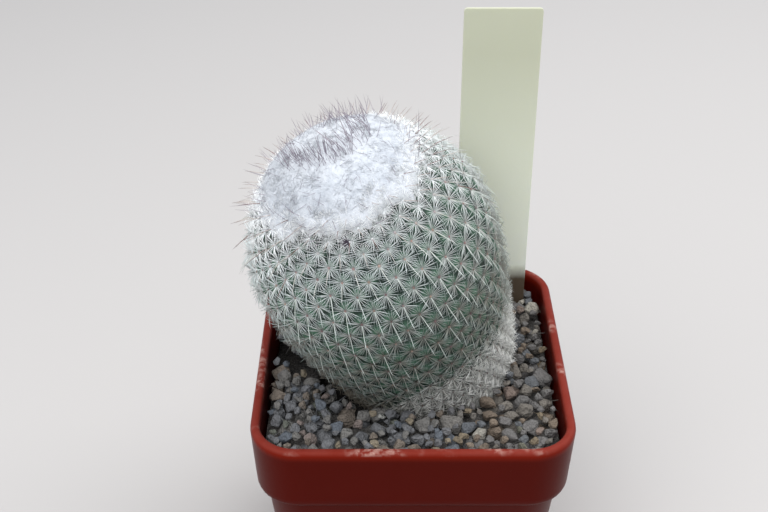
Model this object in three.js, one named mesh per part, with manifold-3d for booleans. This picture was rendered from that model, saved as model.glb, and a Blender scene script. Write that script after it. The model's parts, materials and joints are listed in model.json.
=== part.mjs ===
// A potted epithelantha unguispina: one leaning, club-shaped cactus in a small square plastic pot.
// Millimetres, +Z up, -Y to the front. The origin is the centre of the pot's underside.
import * as THREE from "three";
import { mergeVertices } from "three/addons/utils/BufferGeometryUtils.js";
import Module from "manifold-3d";

// Pot: a square pot with a 55 mm rim, a deep collar and a tapering body.
const POT_HEIGHT = 50;
const RIM_HALF = 27.5;
const RIM_CORNER = 8;
const COLLAR_FOOT = 38.6;
const COLLAR_DRAFT = 0.6;
const SHOULDER_HEIGHT = 36.7;
const SHOULDER_HALF = 25.5;
const FOOT_HALF = 21.8;
const FOOT_CORNER = 5.5;
const POT_WALL = 1.5;
const POT_FLOOR = 1.6;
const CORNER_STEPS = 6;
const DRAIN_RADIUS = 1.9;
const DRAIN_OFFSET = 12;

// Filling: potting mix below, stone top dressing above, each clear of the pot's wall.
const GAP = 0.35;
const SOIL_TOP = 35.8;
const STONE_BED_TOP = 45.8;
const STONE_COUNT = 95;
const STONE_SIZE = [1.9, 2.7];
const STONE_RING = 16.6;
const HOLE_SIDES = 40;

// Stem: the axis leans left and forward, and the profile gives its distance along the axis and its
// radius out to the tips of the flat spines.
const AXIS = [
  [4.9, 4.0, 42],
  [-0.6, 2.4, 57.5],
  [-9.8, -3.1, 81.7],
  [-15.0, -4.8, 96.0],
];
const PROFILE = [
  [0, 14.8],
  [4.5, 16.3],
  [9.5, 17.2],
  [15, 18.5],
  [21, 19.8],
  [29, 21.2],
  [38, 21.1],
  [46, 18.0],
  [52, 13.4],
  [55.9, 7.8],
  [58.2, 0],
];
const ROOT_FOOT = 25;
const ROOT_TAPER = [
  [0.8, 4],
  [3.5, 8],
  [7, 10.9],
  [10.4, 12.4],
];
const TUBERCLE_TOP = -0.6;
const TUBERCLE_VALLEY = -1.6;
const DOME_UNDER_WOOL = -1.95;

// Spiral rows: each tubercle follows the last by the golden angle, and 21 and 34 rows cross.
const GOLDEN_TURN = 0.381966;
const RISE = 0.00437;
const FIRST_ANGLE = 0.25;
const ROWS = [21, 34];

// Claw spines: one to a tubercle, pointing out and down the stem. The young ones below the wool stand
// out further, and their band is given as v of the surface.
const SPINE_LENGTH = [3.2, 4.4];
const SPINE_LIFT = 0.62;
const SPINE_BASE = 0.1;
const YOUNG_BAND = [0.6, 0.76];
const LOWEST_TIP = 49.1;

// Wool cap over the growing point, with thin dark spines standing in it.
const WOOL_EDGE = 0.79;
const WOOL_EDGE_WAVER = 0.014;
const WOOL_COLUMNS = 42;
const WOOL_GAP = 0.42;
const WOOL_LIFT = -0.2;
const WOOL_LUMP = 0.3;
const CROWN_SPINE_RADIUS = 0.16;
const CROWN_SPINES = [
  { count: 32, band: [0.9, 0.955], slant: [0.2, 0.7], turn: [-0.6, 0.6], length: [3, 4.8] },
  { count: 36, band: [0.83, 0.9], slant: [0.3, 1.2], turn: [-Math.PI, Math.PI], length: [2.8, 4.4] },
  { count: 26, band: [0.805, 0.83], slant: [0, 0.35], turn: [-Math.PI, Math.PI], length: [4.2, 5.4] },
];

// Label: a plastic strip with a pointed end, leaning back a little.
const LABEL_X = 15.75;
const LABEL_TOP = [23, 106.5];
const LABEL_WIDTH = 13.7;
const LABEL_LENGTH = 90;
const LABEL_POINT = 26;
const LABEL_THICKNESS = 0.5;
const LABEL_LEAN = THREE.MathUtils.degToRad(2.4);
const LABEL_CLEAR = 0.9;

const wasm = await Module();
wasm.setup();

// A repeatable random number from 0 to 1, and one between two limits.
function randomFrom(seed) {
  let state = seed;
  const next = () => {
    state = (state + 0x6d2b79f5) | 0;
    let t = Math.imul(state ^ (state >>> 15), 1 | state);
    t = (t + Math.imul(t ^ (t >>> 7), 61 | t)) ^ t;
    return ((t ^ (t >>> 14)) >>> 0) / 4294967296;
  };
  next.between = (low, high) => low + (high - low) * next();
  return next;
}

// Solids and meshes.
function geometryOf(points, faces) {
  const geometry = new THREE.BufferGeometry().setFromPoints(points);
  geometry.setIndex(faces.flat());
  return geometry;
}

function solidOf(geometry) {
  const plain = geometry.clone();
  plain.deleteAttribute("normal");
  plain.deleteAttribute("uv");
  const merged = mergeVertices(plain, 1e-4);
  return new wasm.Manifold(
    new wasm.Mesh({
      numProp: 3,
      vertProperties: new Float32Array(merged.attributes.position.array),
      triVerts: new Uint32Array(merged.index.array),
    }),
  );
}

// The solid's largest body, without the crumbs that a cut leaves.
function bodyOf(solid) {
  const bodies = solid.decompose().sort((a, b) => b.volume() - a.volume());
  const mesh = bodies[0].getMesh();
  const geometry = new THREE.BufferGeometry();
  geometry.setAttribute("position", new THREE.BufferAttribute(mesh.vertProperties, 3));
  geometry.setIndex(new THREE.BufferAttribute(mesh.triVerts, 1));
  return geometry;
}

function meshOf(name, geometry, color, roughness) {
  const material = new THREE.MeshStandardMaterial({ color, roughness, metalness: 0 });
  const mesh = new THREE.Mesh(geometry, material);
  mesh.name = name;
  return mesh;
}

// A closed skin through rings of equal length, with a flat fan at each end.
function loft(rings) {
  const count = rings[0].length;
  const points = rings.flat();
  const faces = [];
  for (let ring = 0; ring + 1 < rings.length; ring++) {
    for (let i = 0; i < count; i++) {
      const a = ring * count + i;
      const b = ring * count + ((i + 1) % count);
      faces.push([a, b, b + count], [a, b + count, a + count]);
    }
  }
  const last = (rings.length - 1) * count;
  const centre = (ring) =>
    ring.reduce((sum, p) => sum.add(p), new THREE.Vector3()).divideScalar(count);
  points.push(centre(rings[0]), centre(rings.at(-1)));
  for (let i = 0; i < count; i++) {
    const next = (i + 1) % count;
    faces.push([next, i, points.length - 2], [last + i, last + next, points.length - 1]);
  }
  return geometryOf(points, faces);
}

// A level square ring with round corners.
function squareRing(half, corner, z) {
  const ring = [];
  for (let quarter = 0; quarter < 4; quarter++) {
    const middle = THREE.MathUtils.degToRad(45 + 90 * quarter);
    const reach = (half - corner) * Math.SQRT2;
    for (let step = 0; step <= CORNER_STEPS; step++) {
      const turn = (Math.PI / 2) * (quarter + step / CORNER_STEPS);
      const x = reach * Math.cos(middle) + corner * Math.cos(turn);
      const y = reach * Math.sin(middle) + corner * Math.sin(turn);
      ring.push(new THREE.Vector3(x, y, z));
    }
  }
  return ring;
}

// The pot's half width by height on its outside, on the body and on the collar above it.
function bodyHalf(z) {
  return THREE.MathUtils.mapLinear(z, 0, SHOULDER_HEIGHT, FOOT_HALF, SHOULDER_HALF);
}

function collarHalf(z) {
  return THREE.MathUtils.mapLinear(z, COLLAR_FOOT, POT_HEIGHT, RIM_HALF - COLLAR_DRAFT, RIM_HALF);
}

function cornerAt(z) {
  return THREE.MathUtils.mapLinear(z, 0, POT_HEIGHT, FOOT_CORNER, RIM_CORNER);
}

// A ring of the pot's hollow, drawn in by a margin.
function hollowRing(z, margin) {
  const outer = z > SHOULDER_HEIGHT ? collarHalf(Math.max(z, COLLAR_FOOT)) : bodyHalf(z);
  return squareRing(outer - POT_WALL - margin, cornerAt(z) - POT_WALL - margin, z);
}

function makePot() {
  const outer = (half, z) => squareRing(half, cornerAt(z), z);
  const foot = collarHalf(COLLAR_FOOT);
  const shell = loft([
    outer(FOOT_HALF - 1, 0),
    outer(FOOT_HALF, 0.8),
    outer(SHOULDER_HALF, SHOULDER_HEIGHT),
    outer(foot - 0.7, COLLAR_FOOT - 1.4),
    outer(foot - 0.2, COLLAR_FOOT - 0.9),
    outer(foot, COLLAR_FOOT),
    outer(RIM_HALF, POT_HEIGHT - 0.5),
    outer(RIM_HALF - 0.35, POT_HEIGHT),
    hollowRing(POT_HEIGHT, -0.3),
    hollowRing(POT_HEIGHT - 0.4, 0),
    hollowRing(COLLAR_FOOT, 0),
    hollowRing(SHOULDER_HEIGHT, 0),
    hollowRing(POT_FLOOR, 0),
  ]);
  let solid = solidOf(shell);
  for (const [x, y] of [[1, 1], [1, -1], [-1, 1], [-1, -1]]) {
    const drill = new THREE.CylinderGeometry(DRAIN_RADIUS, DRAIN_RADIUS, 6, 12);
    drill.rotateX(Math.PI / 2);
    drill.translate(x * DRAIN_OFFSET, y * DRAIN_OFFSET, 1);
    solid = solid.subtract(solidOf(drill));
  }
  return meshOf("pot", bodyOf(solid), 0x771e13, 0.42);
}

// The label's outline, grown by a margin where it is used to cut its slot.
function labelStrip(margin) {
  const half = LABEL_WIDTH / 2 + margin;
  const tip = 1.2 + margin;
  const outline = new THREE.Shape();
  outline.moveTo(-half, margin);
  outline.lineTo(-half, LABEL_POINT - LABEL_LENGTH);
  outline.lineTo(-tip, -LABEL_LENGTH - margin);
  outline.lineTo(tip, -LABEL_LENGTH - margin);
  outline.lineTo(half, LABEL_POINT - LABEL_LENGTH);
  outline.lineTo(half, margin);
  const depth = LABEL_THICKNESS + 2 * margin;
  const strip = new THREE.ExtrudeGeometry(outline, { depth, bevelEnabled: false });
  strip.translate(0, 0, -depth / 2);
  strip.rotateX(Math.PI / 2 - LABEL_LEAN);
  strip.translate(LABEL_X, LABEL_TOP[0], LABEL_TOP[1]);
  return strip;
}

// Whether a point lies behind the label's front face, or a little before it.
function meetsLabel(point) {
  const face = LABEL_TOP[0] - Math.tan(LABEL_LEAN) * (LABEL_TOP[1] - point.z);
  return point.y > face - LABEL_CLEAR && point.x > LABEL_X - LABEL_WIDTH / 2 - LABEL_CLEAR;
}

function makeLabel() {
  return meshOf("label", labelStrip(0), 0xc4c7b4, 0.5);
}

// The plant's axis, profile and surface.
const axis = new THREE.CubicBezierCurve3(...AXIS.map((p) => new THREE.Vector3(...p)));
const axisLength = axis.getLength();
const profile = new THREE.SplineCurve(PROFILE.map(([s, r]) => new THREE.Vector2(s, r)));

// A point of the surface: v runs from the root collar at 0 to the growing point at 1, and lift is
// measured along the surface's own direction out.
function surfaceAt(v, angle, lift) {
  const along = profile.getPoint(v);
  const slope = profile.getTangent(v);
  const share = THREE.MathUtils.clamp(along.x / axisLength, 0, 1);
  const up = axis.getTangentAt(share);
  const side = new THREE.Vector3(1, 0, 0).addScaledVector(up, -up.x).normalize();
  const front = new THREE.Vector3().crossVectors(up, side);
  const radial = new THREE.Vector3()
    .addScaledVector(side, Math.cos(angle))
    .addScaledVector(front, Math.sin(angle));
  const out = radial.clone().multiplyScalar(slope.x).addScaledVector(up, -slope.y);
  const climb = radial.clone().multiplyScalar(slope.y).addScaledVector(up, slope.x);
  const point = axis.getPointAt(share).addScaledVector(radial, along.y);
  return { point: point.addScaledVector(out, lift), out, climb };
}

// Height along the surface in units of its own radius, in which the spiral rows are evenly spaced.
const LATITUDES = [0];
const SAMPLES = 400;
for (let i = 1; i <= SAMPLES; i++) {
  const a = profile.getPoint((i - 1) / SAMPLES);
  const b = profile.getPoint(i / SAMPLES);
  LATITUDES.push(LATITUDES[i - 1] + a.distanceTo(b) / Math.max((a.y + b.y) / 2, 0.2));
}

function vAtLatitude(latitude) {
  let i = LATITUDES.findIndex((value) => value >= latitude);
  i = i < 1 ? (i < 0 ? SAMPLES : 1) : i;
  const step = LATITUDES[i] - LATITUDES[i - 1];
  return (i - 1 + THREE.MathUtils.clamp((latitude - LATITUDES[i - 1]) / step, 0, 1)) / SAMPLES;
}

// Where the wool ends at an angle round the stem.
function woolEdge(angle) {
  const wave = Math.sin(3 * angle + 0.6) + Math.sin(7 * angle + 2.1) + 0.8 * Math.sin(12 * angle);
  return WOOL_EDGE + (WOOL_EDGE_WAVER * wave) / 2;
}

// Relief fades as the wool begins, where the skin sinks to the dome that carries it.
function reliefAt(v, angle, lift) {
  const edge = woolEdge(angle);
  const sunk = THREE.MathUtils.smoothstep(v, edge - 0.01, edge + 0.03);
  return surfaceAt(v, angle, THREE.MathUtils.lerp(lift, DOME_UNDER_WOOL, sunk));
}

// The stem's skin: a raised corner at each tubercle, a valley between each four of them, and a
// spine that grows out of the corner. A margin swells it into the shape that the wool is cut by.
function stemSkin(margin) {
  const [few, many] = ROWS;
  const top = few + many;
  const turnOf = (index) => FIRST_ANGLE + 2 * Math.PI * ((index * GOLDEN_TURN) % 1);
  const edgeLatitude = LATITUDES[Math.round(SAMPLES * WOOL_EDGE)];
  const count = Math.round(edgeLatitude / RISE) + top + 12;
  const random = randomFrom(11);
  const points = [];
  const faces = [];
  const add = (point) => points.push(point) - 1;
  const swell = ({ point, out }) => point.addScaledVector(out, margin);

  const cornerTurn = 2 * Math.PI * (((few * GOLDEN_TURN + 0.5) % 1) - 0.5);
  const slantTurn = 2 * Math.PI * (((many * GOLDEN_TURN + 0.5) % 1) - 0.5);
  const middleTurn = (cornerTurn + slantTurn) / 2;
  const middleRise = (RISE * top) / 2;
  const cellExists = (index) => index >= 0 && index + top < count;
  const valleys = new Map();
  for (let index = 0; cellExists(index); index++) {
    const v = vAtLatitude(RISE * index + middleRise);
    const angle = turnOf(index) + middleTurn;
    valleys.set(index, add(swell(reliefAt(v, angle, TUBERCLE_VALLEY))));
  }

  // Round each tubercle's tip: the corner that faces right, up, left and down.
  const corners = [];
  for (let index = 0; index < count; index++) {
    const angle = turnOf(index);
    const v = vAtLatitude(RISE * index);
    const { point, out, climb } = reliefAt(v, angle, TUBERCLE_TOP);
    point.addScaledVector(out, margin);
    const cells = [index - many, index, index - few, index - top];
    if (!cells.every(cellExists)) {
      const single = add(point);
      corners.push(cells.map(() => single));
      continue;
    }
    const around = cells.map((cell) =>
      add(point.clone().lerp(points[valleys.get(cell)], SPINE_BASE)),
    );
    corners.push(around);
    const youth = THREE.MathUtils.smoothstep(v, ...YOUNG_BAND);
    const length = random.between(...SPINE_LENGTH) + 0.6 * youth;
    const sway = new THREE.Vector3().crossVectors(out, climb);
    const direction = out
      .clone()
      .multiplyScalar(SPINE_LIFT + 0.7 * youth + random.between(-0.1, 0.1))
      .addScaledVector(climb, 0.6 * youth - 0.8)
      .addScaledVector(sway, random.between(-0.25, 0.25))
      .normalize();
    const tip = point.clone().addScaledVector(direction, length);
    const woolly = margin > 0 || v > woolEdge(angle) - 0.02;
    const bare = woolly || tip.z < LOWEST_TIP || meetsLabel(tip);
    const end = add(bare ? point.clone().addScaledVector(out, 0.12) : tip);
    around.forEach((corner, i) => faces.push([corner, around[(i + 1) % 4], end]));
  }

  const face = (...ring) => {
    const distinct = ring.filter((p, i) => p !== ring[(i + 1) % ring.length]);
    for (let i = 1; i + 1 < distinct.length; i++) {
      faces.push([distinct[0], distinct[i], distinct[i + 1]]);
    }
  };
  const RIGHT = 0;
  const UP = 1;
  const LEFT = 2;
  const DOWN = 3;
  for (let index = 0; cellExists(index); index++) {
    const middle = valleys.get(index);
    const low = corners[index][UP];
    const right = corners[index + few][LEFT];
    const high = corners[index + top][DOWN];
    const left = corners[index + many][RIGHT];
    face(low, right, middle);
    face(right, high, middle);
    face(high, left, middle);
    face(left, low, middle);
    if (cellExists(index - many)) {
      face(corners[index][RIGHT], corners[index + few][DOWN], right, low);
    }
    if (cellExists(index - few)) {
      face(corners[index][LEFT], low, left, corners[index + many][DOWN]);
    }
  }

  // The rows' lowest and highest tubercles make a ring each, which is closed to the root and over
  // the dome.
  const ringOf = (start) => {
    const ring = Array.from({ length: top }, (_, i) => start + i);
    return ring.sort((a, b) => turnOf(a) - turnOf(b));
  };
  const bridge = (lower, upper) => {
    lower.forEach((p, i) => {
      const next = (i + 1) % lower.length;
      face(p, lower[next], upper[next], upper[i]);
    });
  };
  const bottomRing = ringOf(0);
  const foot = new THREE.Vector3(...AXIS[0]).setZ(ROOT_FOOT);
  let upper = bottomRing.map((index) => corners[index][0]);
  for (const [rise, radius] of ROOT_TAPER.toReversed()) {
    const ring = bottomRing.map((index) => {
      const reach = new THREE.Vector3(Math.cos(turnOf(index)), Math.sin(turnOf(index)), 0);
      return add(reach.multiplyScalar(radius).add(foot).setZ(ROOT_FOOT + rise));
    });
    bridge(ring, upper);
    upper = ring;
  }
  const rootEnd = add(foot);
  bridge(upper.map(() => rootEnd), upper);

  const topRing = ringOf(count - top);
  let lower = topRing.map((index) => corners[index][0]);
  for (const v of [0.86, 0.93]) {
    const ring = topRing.map((index) => add(swell(surfaceAt(v, turnOf(index), DOME_UNDER_WOOL))));
    bridge(lower, ring);
    lower = ring;
  }
  const summit = add(swell(surfaceAt(1, 0, DOME_UNDER_WOOL)));
  bridge(lower, lower.map(() => summit));
  return geometryOf(points, faces);
}

function makeStem() {
  return meshOf("stem", stemSkin(0), 0x5f7a55, 0.7);
}

// A three-sided needle from a root to a tip.
function needle(root, tip) {
  const cone = new THREE.ConeGeometry(CROWN_SPINE_RADIUS, root.distanceTo(tip), 3);
  cone.rotateX(Math.PI / 2);
  const turn = new THREE.Quaternion().setFromUnitVectors(
    new THREE.Vector3(0, 0, 1),
    tip.clone().sub(root).normalize(),
  );
  cone.applyQuaternion(turn);
  const middle = root.clone().lerp(tip, 0.5);
  cone.translate(middle.x, middle.y, middle.z);
  return solidOf(cone);
}

// The wool is a lumpy cap over the dome, and its underside follows the stem's skin.
function makeCrownWool() {
  const rows = [0, 0.06, 0.14, 0.24, 0.36, 0.48, 0.6, 0.72, 0.84, 0.94];
  const random = randomFrom(5);
  const rings = rows.map((row) =>
    Array.from({ length: WOOL_COLUMNS }, (_, i) => {
      const angle = (2 * Math.PI * (i + row)) / WOOL_COLUMNS;
      const edge = woolEdge(angle);
      const { point, out } = surfaceAt(edge + (1 - edge) * row, angle, 0);
      const lump = Math.sin(1.7 * point.x + 1) * Math.sin(1.9 * point.y) * Math.sin(1.3 * point.z);
      const rise = THREE.MathUtils.smoothstep(row, 0, 0.12);
      const lift = WOOL_LIFT + WOOL_LUMP * lump;
      return point.addScaledVector(out, THREE.MathUtils.lerp(DOME_UNDER_WOOL, lift, rise));
    }),
  );
  const cap = solidOf(loft(rings)).subtract(solidOf(stemSkin(WOOL_GAP)));

  const needles = CROWN_SPINES.flatMap(({ count, band, slant, turn, length }) =>
    Array.from({ length: count }, (_, i) => {
      const angle = (2 * Math.PI * (i + random.between(-0.3, 0.3))) / count;
      const root = surfaceAt(random.between(...band), angle, WOOL_LIFT - 0.5);
      const across = new THREE.Vector3().crossVectors(root.out, root.climb);
      const lean = random.between(...slant);
      const way = random.between(...turn);
      const direction = root.out
        .clone()
        .addScaledVector(root.climb, lean * Math.cos(way))
        .addScaledVector(across, lean * Math.sin(way))
        .normalize();
      const tip = root.point.clone().addScaledVector(direction, random.between(...length));
      return needle(root.point, tip);
    }),
  );
  return meshOf("crown_wool", bodyOf(wasm.Manifold.union([cap, ...needles])), 0xdfe4e8, 0.9);
}

// The potting mix, with a plain hole for the stem's buried end and a slot for the label.
function makeSoil() {
  const filling = loft([hollowRing(POT_FLOOR + GAP, GAP), hollowRing(SOIL_TOP, GAP)]);
  const stemHole = new THREE.LatheGeometry(
    [
      new THREE.Vector2(0, ROOT_FOOT - GAP),
      ...ROOT_TAPER.map(([rise, radius]) => new THREE.Vector2(radius + GAP, ROOT_FOOT + rise - GAP)),
      new THREE.Vector2(PROFILE[0][1], SOIL_TOP + 1),
      new THREE.Vector2(0, SOIL_TOP + 1),
    ],
    36,
  );
  stemHole.rotateX(Math.PI / 2);
  stemHole.translate(AXIS[0][0], AXIS[0][1], 0);
  const solid = solidOf(filling).subtract(solidOf(stemHole)).subtract(solidOf(labelStrip(GAP)));
  return meshOf("soil", bodyOf(solid), 0x3d332b, 0.95);
}

// The top dressing: a bed with angular stones sunk into it, round the stem and the label.
function makeGravel() {
  const random = randomFrom(23);
  const [stemX, stemY] = AXIS[0];
  const wall = RIM_HALF - POT_WALL - 1;
  const placed = [];
  for (let tries = 0; placed.length < STONE_COUNT && tries < 9000; tries++) {
    const x = random.between(-wall, wall);
    const y = random.between(-wall, wall);
    const size = random.between(...STONE_SIZE);
    const apart = (other) => Math.hypot(other.x - x, other.y - y) > 0.76 * (other.size + size);
    if (Math.hypot(x - stemX, y - stemY) < STONE_RING || !placed.every(apart)) continue;
    placed.push({ x, y, size });
  }
  const stones = placed.map(({ x, y, size }) => {
    const stone = new THREE.IcosahedronGeometry(size, 0);
    stone.scale(1, random.between(0.7, 1), random.between(0.55, 0.75));
    stone.rotateX(random.between(-0.5, 0.5));
    stone.rotateZ(random.between(0, 2 * Math.PI));
    stone.translate(x, y, STONE_BED_TOP + random.between(0.2, 1));
    return solidOf(stone);
  });
  const shoulder = [hollowRing(SHOULDER_HEIGHT, 1.3 * GAP), hollowRing(COLLAR_FOOT + 0.3, GAP)];
  const bed = loft([hollowRing(SOIL_TOP + GAP, GAP), ...shoulder, hollowRing(STONE_BED_TOP, GAP)]);
  const inside = loft([hollowRing(SOIL_TOP, GAP), ...shoulder, hollowRing(POT_HEIGHT, GAP)]);
  const around = (v, drop) =>
    Array.from({ length: HOLE_SIDES }, (_, i) => {
      const { point } = surfaceAt(v, (2 * Math.PI * i) / HOLE_SIDES, 0);
      return point.setZ(point.z - drop);
    });
  const stemHole = loft([
    around(0, 12),
    ...[0, 0.1, 0.2, 0.3].map((v) => around(v, 0)),
  ]);
  const solid = wasm.Manifold.union([solidOf(bed), ...stones])
    .intersect(solidOf(inside))
    .subtract(solidOf(stemHole))
    .subtract(solidOf(labelStrip(GAP)));
  return meshOf("gravel", bodyOf(solid), 0x54524f, 0.9);
}

const plant = new THREE.Group();
plant.add(makeStem(), makeCrownWool());
const part = new THREE.Group();
part.add(makePot(), makeSoil(), makeGravel(), plant, makeLabel());
export default part;
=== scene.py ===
import json
import math

import bmesh
import bpy
import numpy as np
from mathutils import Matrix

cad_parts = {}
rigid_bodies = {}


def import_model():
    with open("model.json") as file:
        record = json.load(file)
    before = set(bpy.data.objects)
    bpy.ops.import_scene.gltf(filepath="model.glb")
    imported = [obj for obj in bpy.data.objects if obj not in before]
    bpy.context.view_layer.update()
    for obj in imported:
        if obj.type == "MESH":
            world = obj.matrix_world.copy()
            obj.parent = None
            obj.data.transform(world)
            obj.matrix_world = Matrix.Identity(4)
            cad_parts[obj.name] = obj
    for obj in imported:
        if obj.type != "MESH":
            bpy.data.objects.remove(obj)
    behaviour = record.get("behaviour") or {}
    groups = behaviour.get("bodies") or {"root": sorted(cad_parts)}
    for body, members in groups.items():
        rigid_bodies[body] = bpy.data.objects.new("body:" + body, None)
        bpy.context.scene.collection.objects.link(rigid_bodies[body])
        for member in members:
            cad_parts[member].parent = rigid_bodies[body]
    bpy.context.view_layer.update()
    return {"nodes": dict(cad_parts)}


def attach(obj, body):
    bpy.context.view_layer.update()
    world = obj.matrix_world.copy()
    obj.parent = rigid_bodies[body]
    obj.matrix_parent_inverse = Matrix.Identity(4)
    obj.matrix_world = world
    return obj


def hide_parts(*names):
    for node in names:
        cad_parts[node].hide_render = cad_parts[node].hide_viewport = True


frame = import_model()

# Studio: a pale sheet of card under soft daylight. Most of the light comes from a wide window above
# and behind the plant, so the pot's front is in its own shade, and the sky fills in the rest.
CAMERA_PLACE = (-0.0049, -0.1726, 0.1854)
CAMERA_PITCH = 56.35
CAMERA_LENS = 56.3
FLOOR_HALF = 1.6

scene = bpy.context.scene
scene.view_settings.view_transform = "Standard"


def linear(hex_colour):
    """An sRGB hex value as the linear colour with alpha that a socket takes."""
    channels = [int(hex_colour[i : i + 2], 16) / 255 for i in (1, 3, 5)]
    return [c / 12.92 if c <= 0.04045 else ((c + 0.055) / 1.055) ** 2.4 for c in channels] + [1.0]


def add_node(tree, kind, sockets=(), **settings):
    """Adds a node with its settings. Each of its sockets is given a value or another node's output."""
    node = tree.nodes.new(kind)
    for name, value in settings.items():
        setattr(node, name, value)
    for name, value in dict(sockets).items():
        if isinstance(value, bpy.types.NodeSocket):
            tree.links.new(value, node.inputs[name])
        else:
            node.inputs[name].default_value = value
    return node


def new_finish(name, **values):
    """A material with its shader's constant values set. Returns it, its tree and its shader."""
    material = bpy.data.materials.new(name)
    material.use_nodes = True
    shader = material.node_tree.nodes["Principled BSDF"]
    for socket, value in values.items():
        shader.inputs[socket.replace("_", " ")].default_value = value
    return material, material.node_tree, shader


def place_in_scene(name, data):
    """An object at the origin that holds this data."""
    placed = bpy.data.objects.new(name, data)
    scene.collection.objects.link(placed)
    return placed


camera = place_in_scene("camera", bpy.data.cameras.new("camera"))
camera.data.lens = CAMERA_LENS
camera.data.sensor_width = 36
camera.data.clip_start = 0.01
camera.location = CAMERA_PLACE
camera.rotation_euler = (math.radians(CAMERA_PITCH), 0, 0)
scene.camera = camera

floor_mesh = bpy.data.meshes.new("card_floor")
floor_mesh.from_pydata(
    [(x * FLOOR_HALF, y * FLOOR_HALF, 0) for x, y in [(-1, -1), (1, -1), (1, 1), (-1, 1)]],
    [],
    [(0, 1, 2, 3)],
)
floor = place_in_scene("card_floor", floor_mesh)
# Matt white card: bright, without gloss.
card, _, card_shader = new_finish("matt_card", Roughness=0.95)
card_shader.inputs["Base Color"].default_value = linear("#b8b5b3")
floor_mesh.materials.append(card)

sky = bpy.data.worlds.new("sky")
sky.use_nodes = True
sky.node_tree.nodes["Background"].inputs["Color"].default_value = linear("#e9eef5")
sky.node_tree.nodes["Background"].inputs["Strength"].default_value = 0.66
scene.world = sky

for name, place, aim, size, power in [
    ("window", (0.3, 0.15, 0.54), (0.0, 0.0, 0.05), 0.6, 3.1),
    ("room", (-0.18, -0.28, 0.57), (0.0, 0.0, 0.05), 0.6, 3.85),
]:
    lamp = place_in_scene(name, bpy.data.lights.new(name, "AREA"))
    lamp.data.size = size
    lamp.data.energy = power
    lamp.location = place
    way = lamp.location - type(lamp.location)(aim)
    lamp.rotation_euler = way.to_track_quat("Z", "Y").to_euler()


# Pot: a square nursery pot with a 55 mm rim, injection moulded in one piece from terracotta-red
# polypropylene. Its deep collar stacks on the next pot, and four holes drain its floor.
MM = 0.001
POT_HEIGHT = 50.0
POT_WALL = 1.5
DRAIN_RADIUS = 1.9
DRAIN_OFFSET = 12.0
# Half width and height, up the outside, over the rim and down the hollow.
POT_OUTSIDE = [
    (20.8, 0.0),
    (21.35, 0.12),
    (21.7, 0.42),
    (21.83, 0.9),
    (21.9, 1.6),
    (25.45, 36.4),
    (25.55, 36.75),
    (25.8, 36.95),
    (26.2, 37.1),
    (26.52, 37.35),
    (26.76, 37.7),
    (26.89, 38.2),
    (26.94, 38.9),
    (27.45, 48.5),
    (27.49, 49.1),
    (27.44, 49.48),
    (27.3, 49.76),
    (27.08, 49.94),
    (26.8, 50.0),
    (26.4, 50.0),
    (26.14, 49.9),
    (25.96, 49.7),
    (25.88, 49.3),
    (25.86, 48.4),
    (25.44, 39.0),
    (25.36, 38.5),
    (24.0, 36.8),
    (23.9, 36.3),
    (20.42, 2.2),
    (20.2, 1.8),
    (19.7, 1.6),
]


def square_ring(half, corner, z, steps=10):
    """A level ring of a square with round corners, anticlockwise from above."""
    turn = np.concatenate([np.linspace(q, q + 1, steps + 1) for q in range(4)]) * math.pi / 2
    middle = np.repeat(np.arange(4) + 0.5, steps + 1) * math.pi / 2
    reach = (half - corner) * math.sqrt(2)
    x = reach * np.cos(middle) + corner * np.cos(turn)
    y = reach * np.sin(middle) + corner * np.sin(turn)
    return np.stack([x, y, np.full_like(x, z)], axis=1)


def closed_skin(name, rings, rejoins=False):
    """A closed mesh through rings of equal length, in millimetres. It rejoins its first ring, or
    has a fan over each end."""
    rings = np.asarray(rings, float)
    count = rings.shape[1]
    places = rings.reshape(-1, 3)
    here = np.arange(count)
    after = (here + 1) % count
    faces = []
    for ring in range(len(rings) if rejoins else len(rings) - 1):
        start, then = ring * count, (ring + 1) % len(rings) * count
        faces += np.stack([start + here, start + after, then + after, then + here], axis=1).tolist()
    if not rejoins:
        last, low, high = len(places) - count, len(places), len(places) + 1
        faces += [(int(b), int(a), low) for a, b in zip(here, after)]
        faces += [(int(last + a), int(last + b), high) for a, b in zip(here, after)]
        places = np.concatenate([places, rings[[0, -1]].mean(axis=1)])
    mesh = bpy.data.meshes.new(name)
    mesh.from_pydata((places * MM).tolist(), [], faces)
    mesh.shade_smooth()
    return mesh


def as_plain_piece(name, carrier):
    """The carrier with its modifiers as a plain mesh object, in the carrier's stead."""
    bpy.context.view_layer.update()
    graph = bpy.context.evaluated_depsgraph_get()
    mesh = bpy.data.meshes.new_from_object(
        carrier.evaluated_get(graph), preserve_all_data_layers=True, depsgraph=graph
    )
    mesh.name = name
    bpy.data.objects.remove(carrier)
    return place_in_scene(name, mesh)


def pot_corner(half, z):
    """The corner radius, which grows with height and shrinks by the wall in the hollow."""
    outside = 5.5 + 2.5 * z / POT_HEIGHT
    wall_in = max(0.0, np.interp(z, [0, 36.7, 38.6, 50], [21.8, 25.5, 26.9, 27.5]) - half)
    return outside - min(wall_in, POT_WALL)


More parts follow.
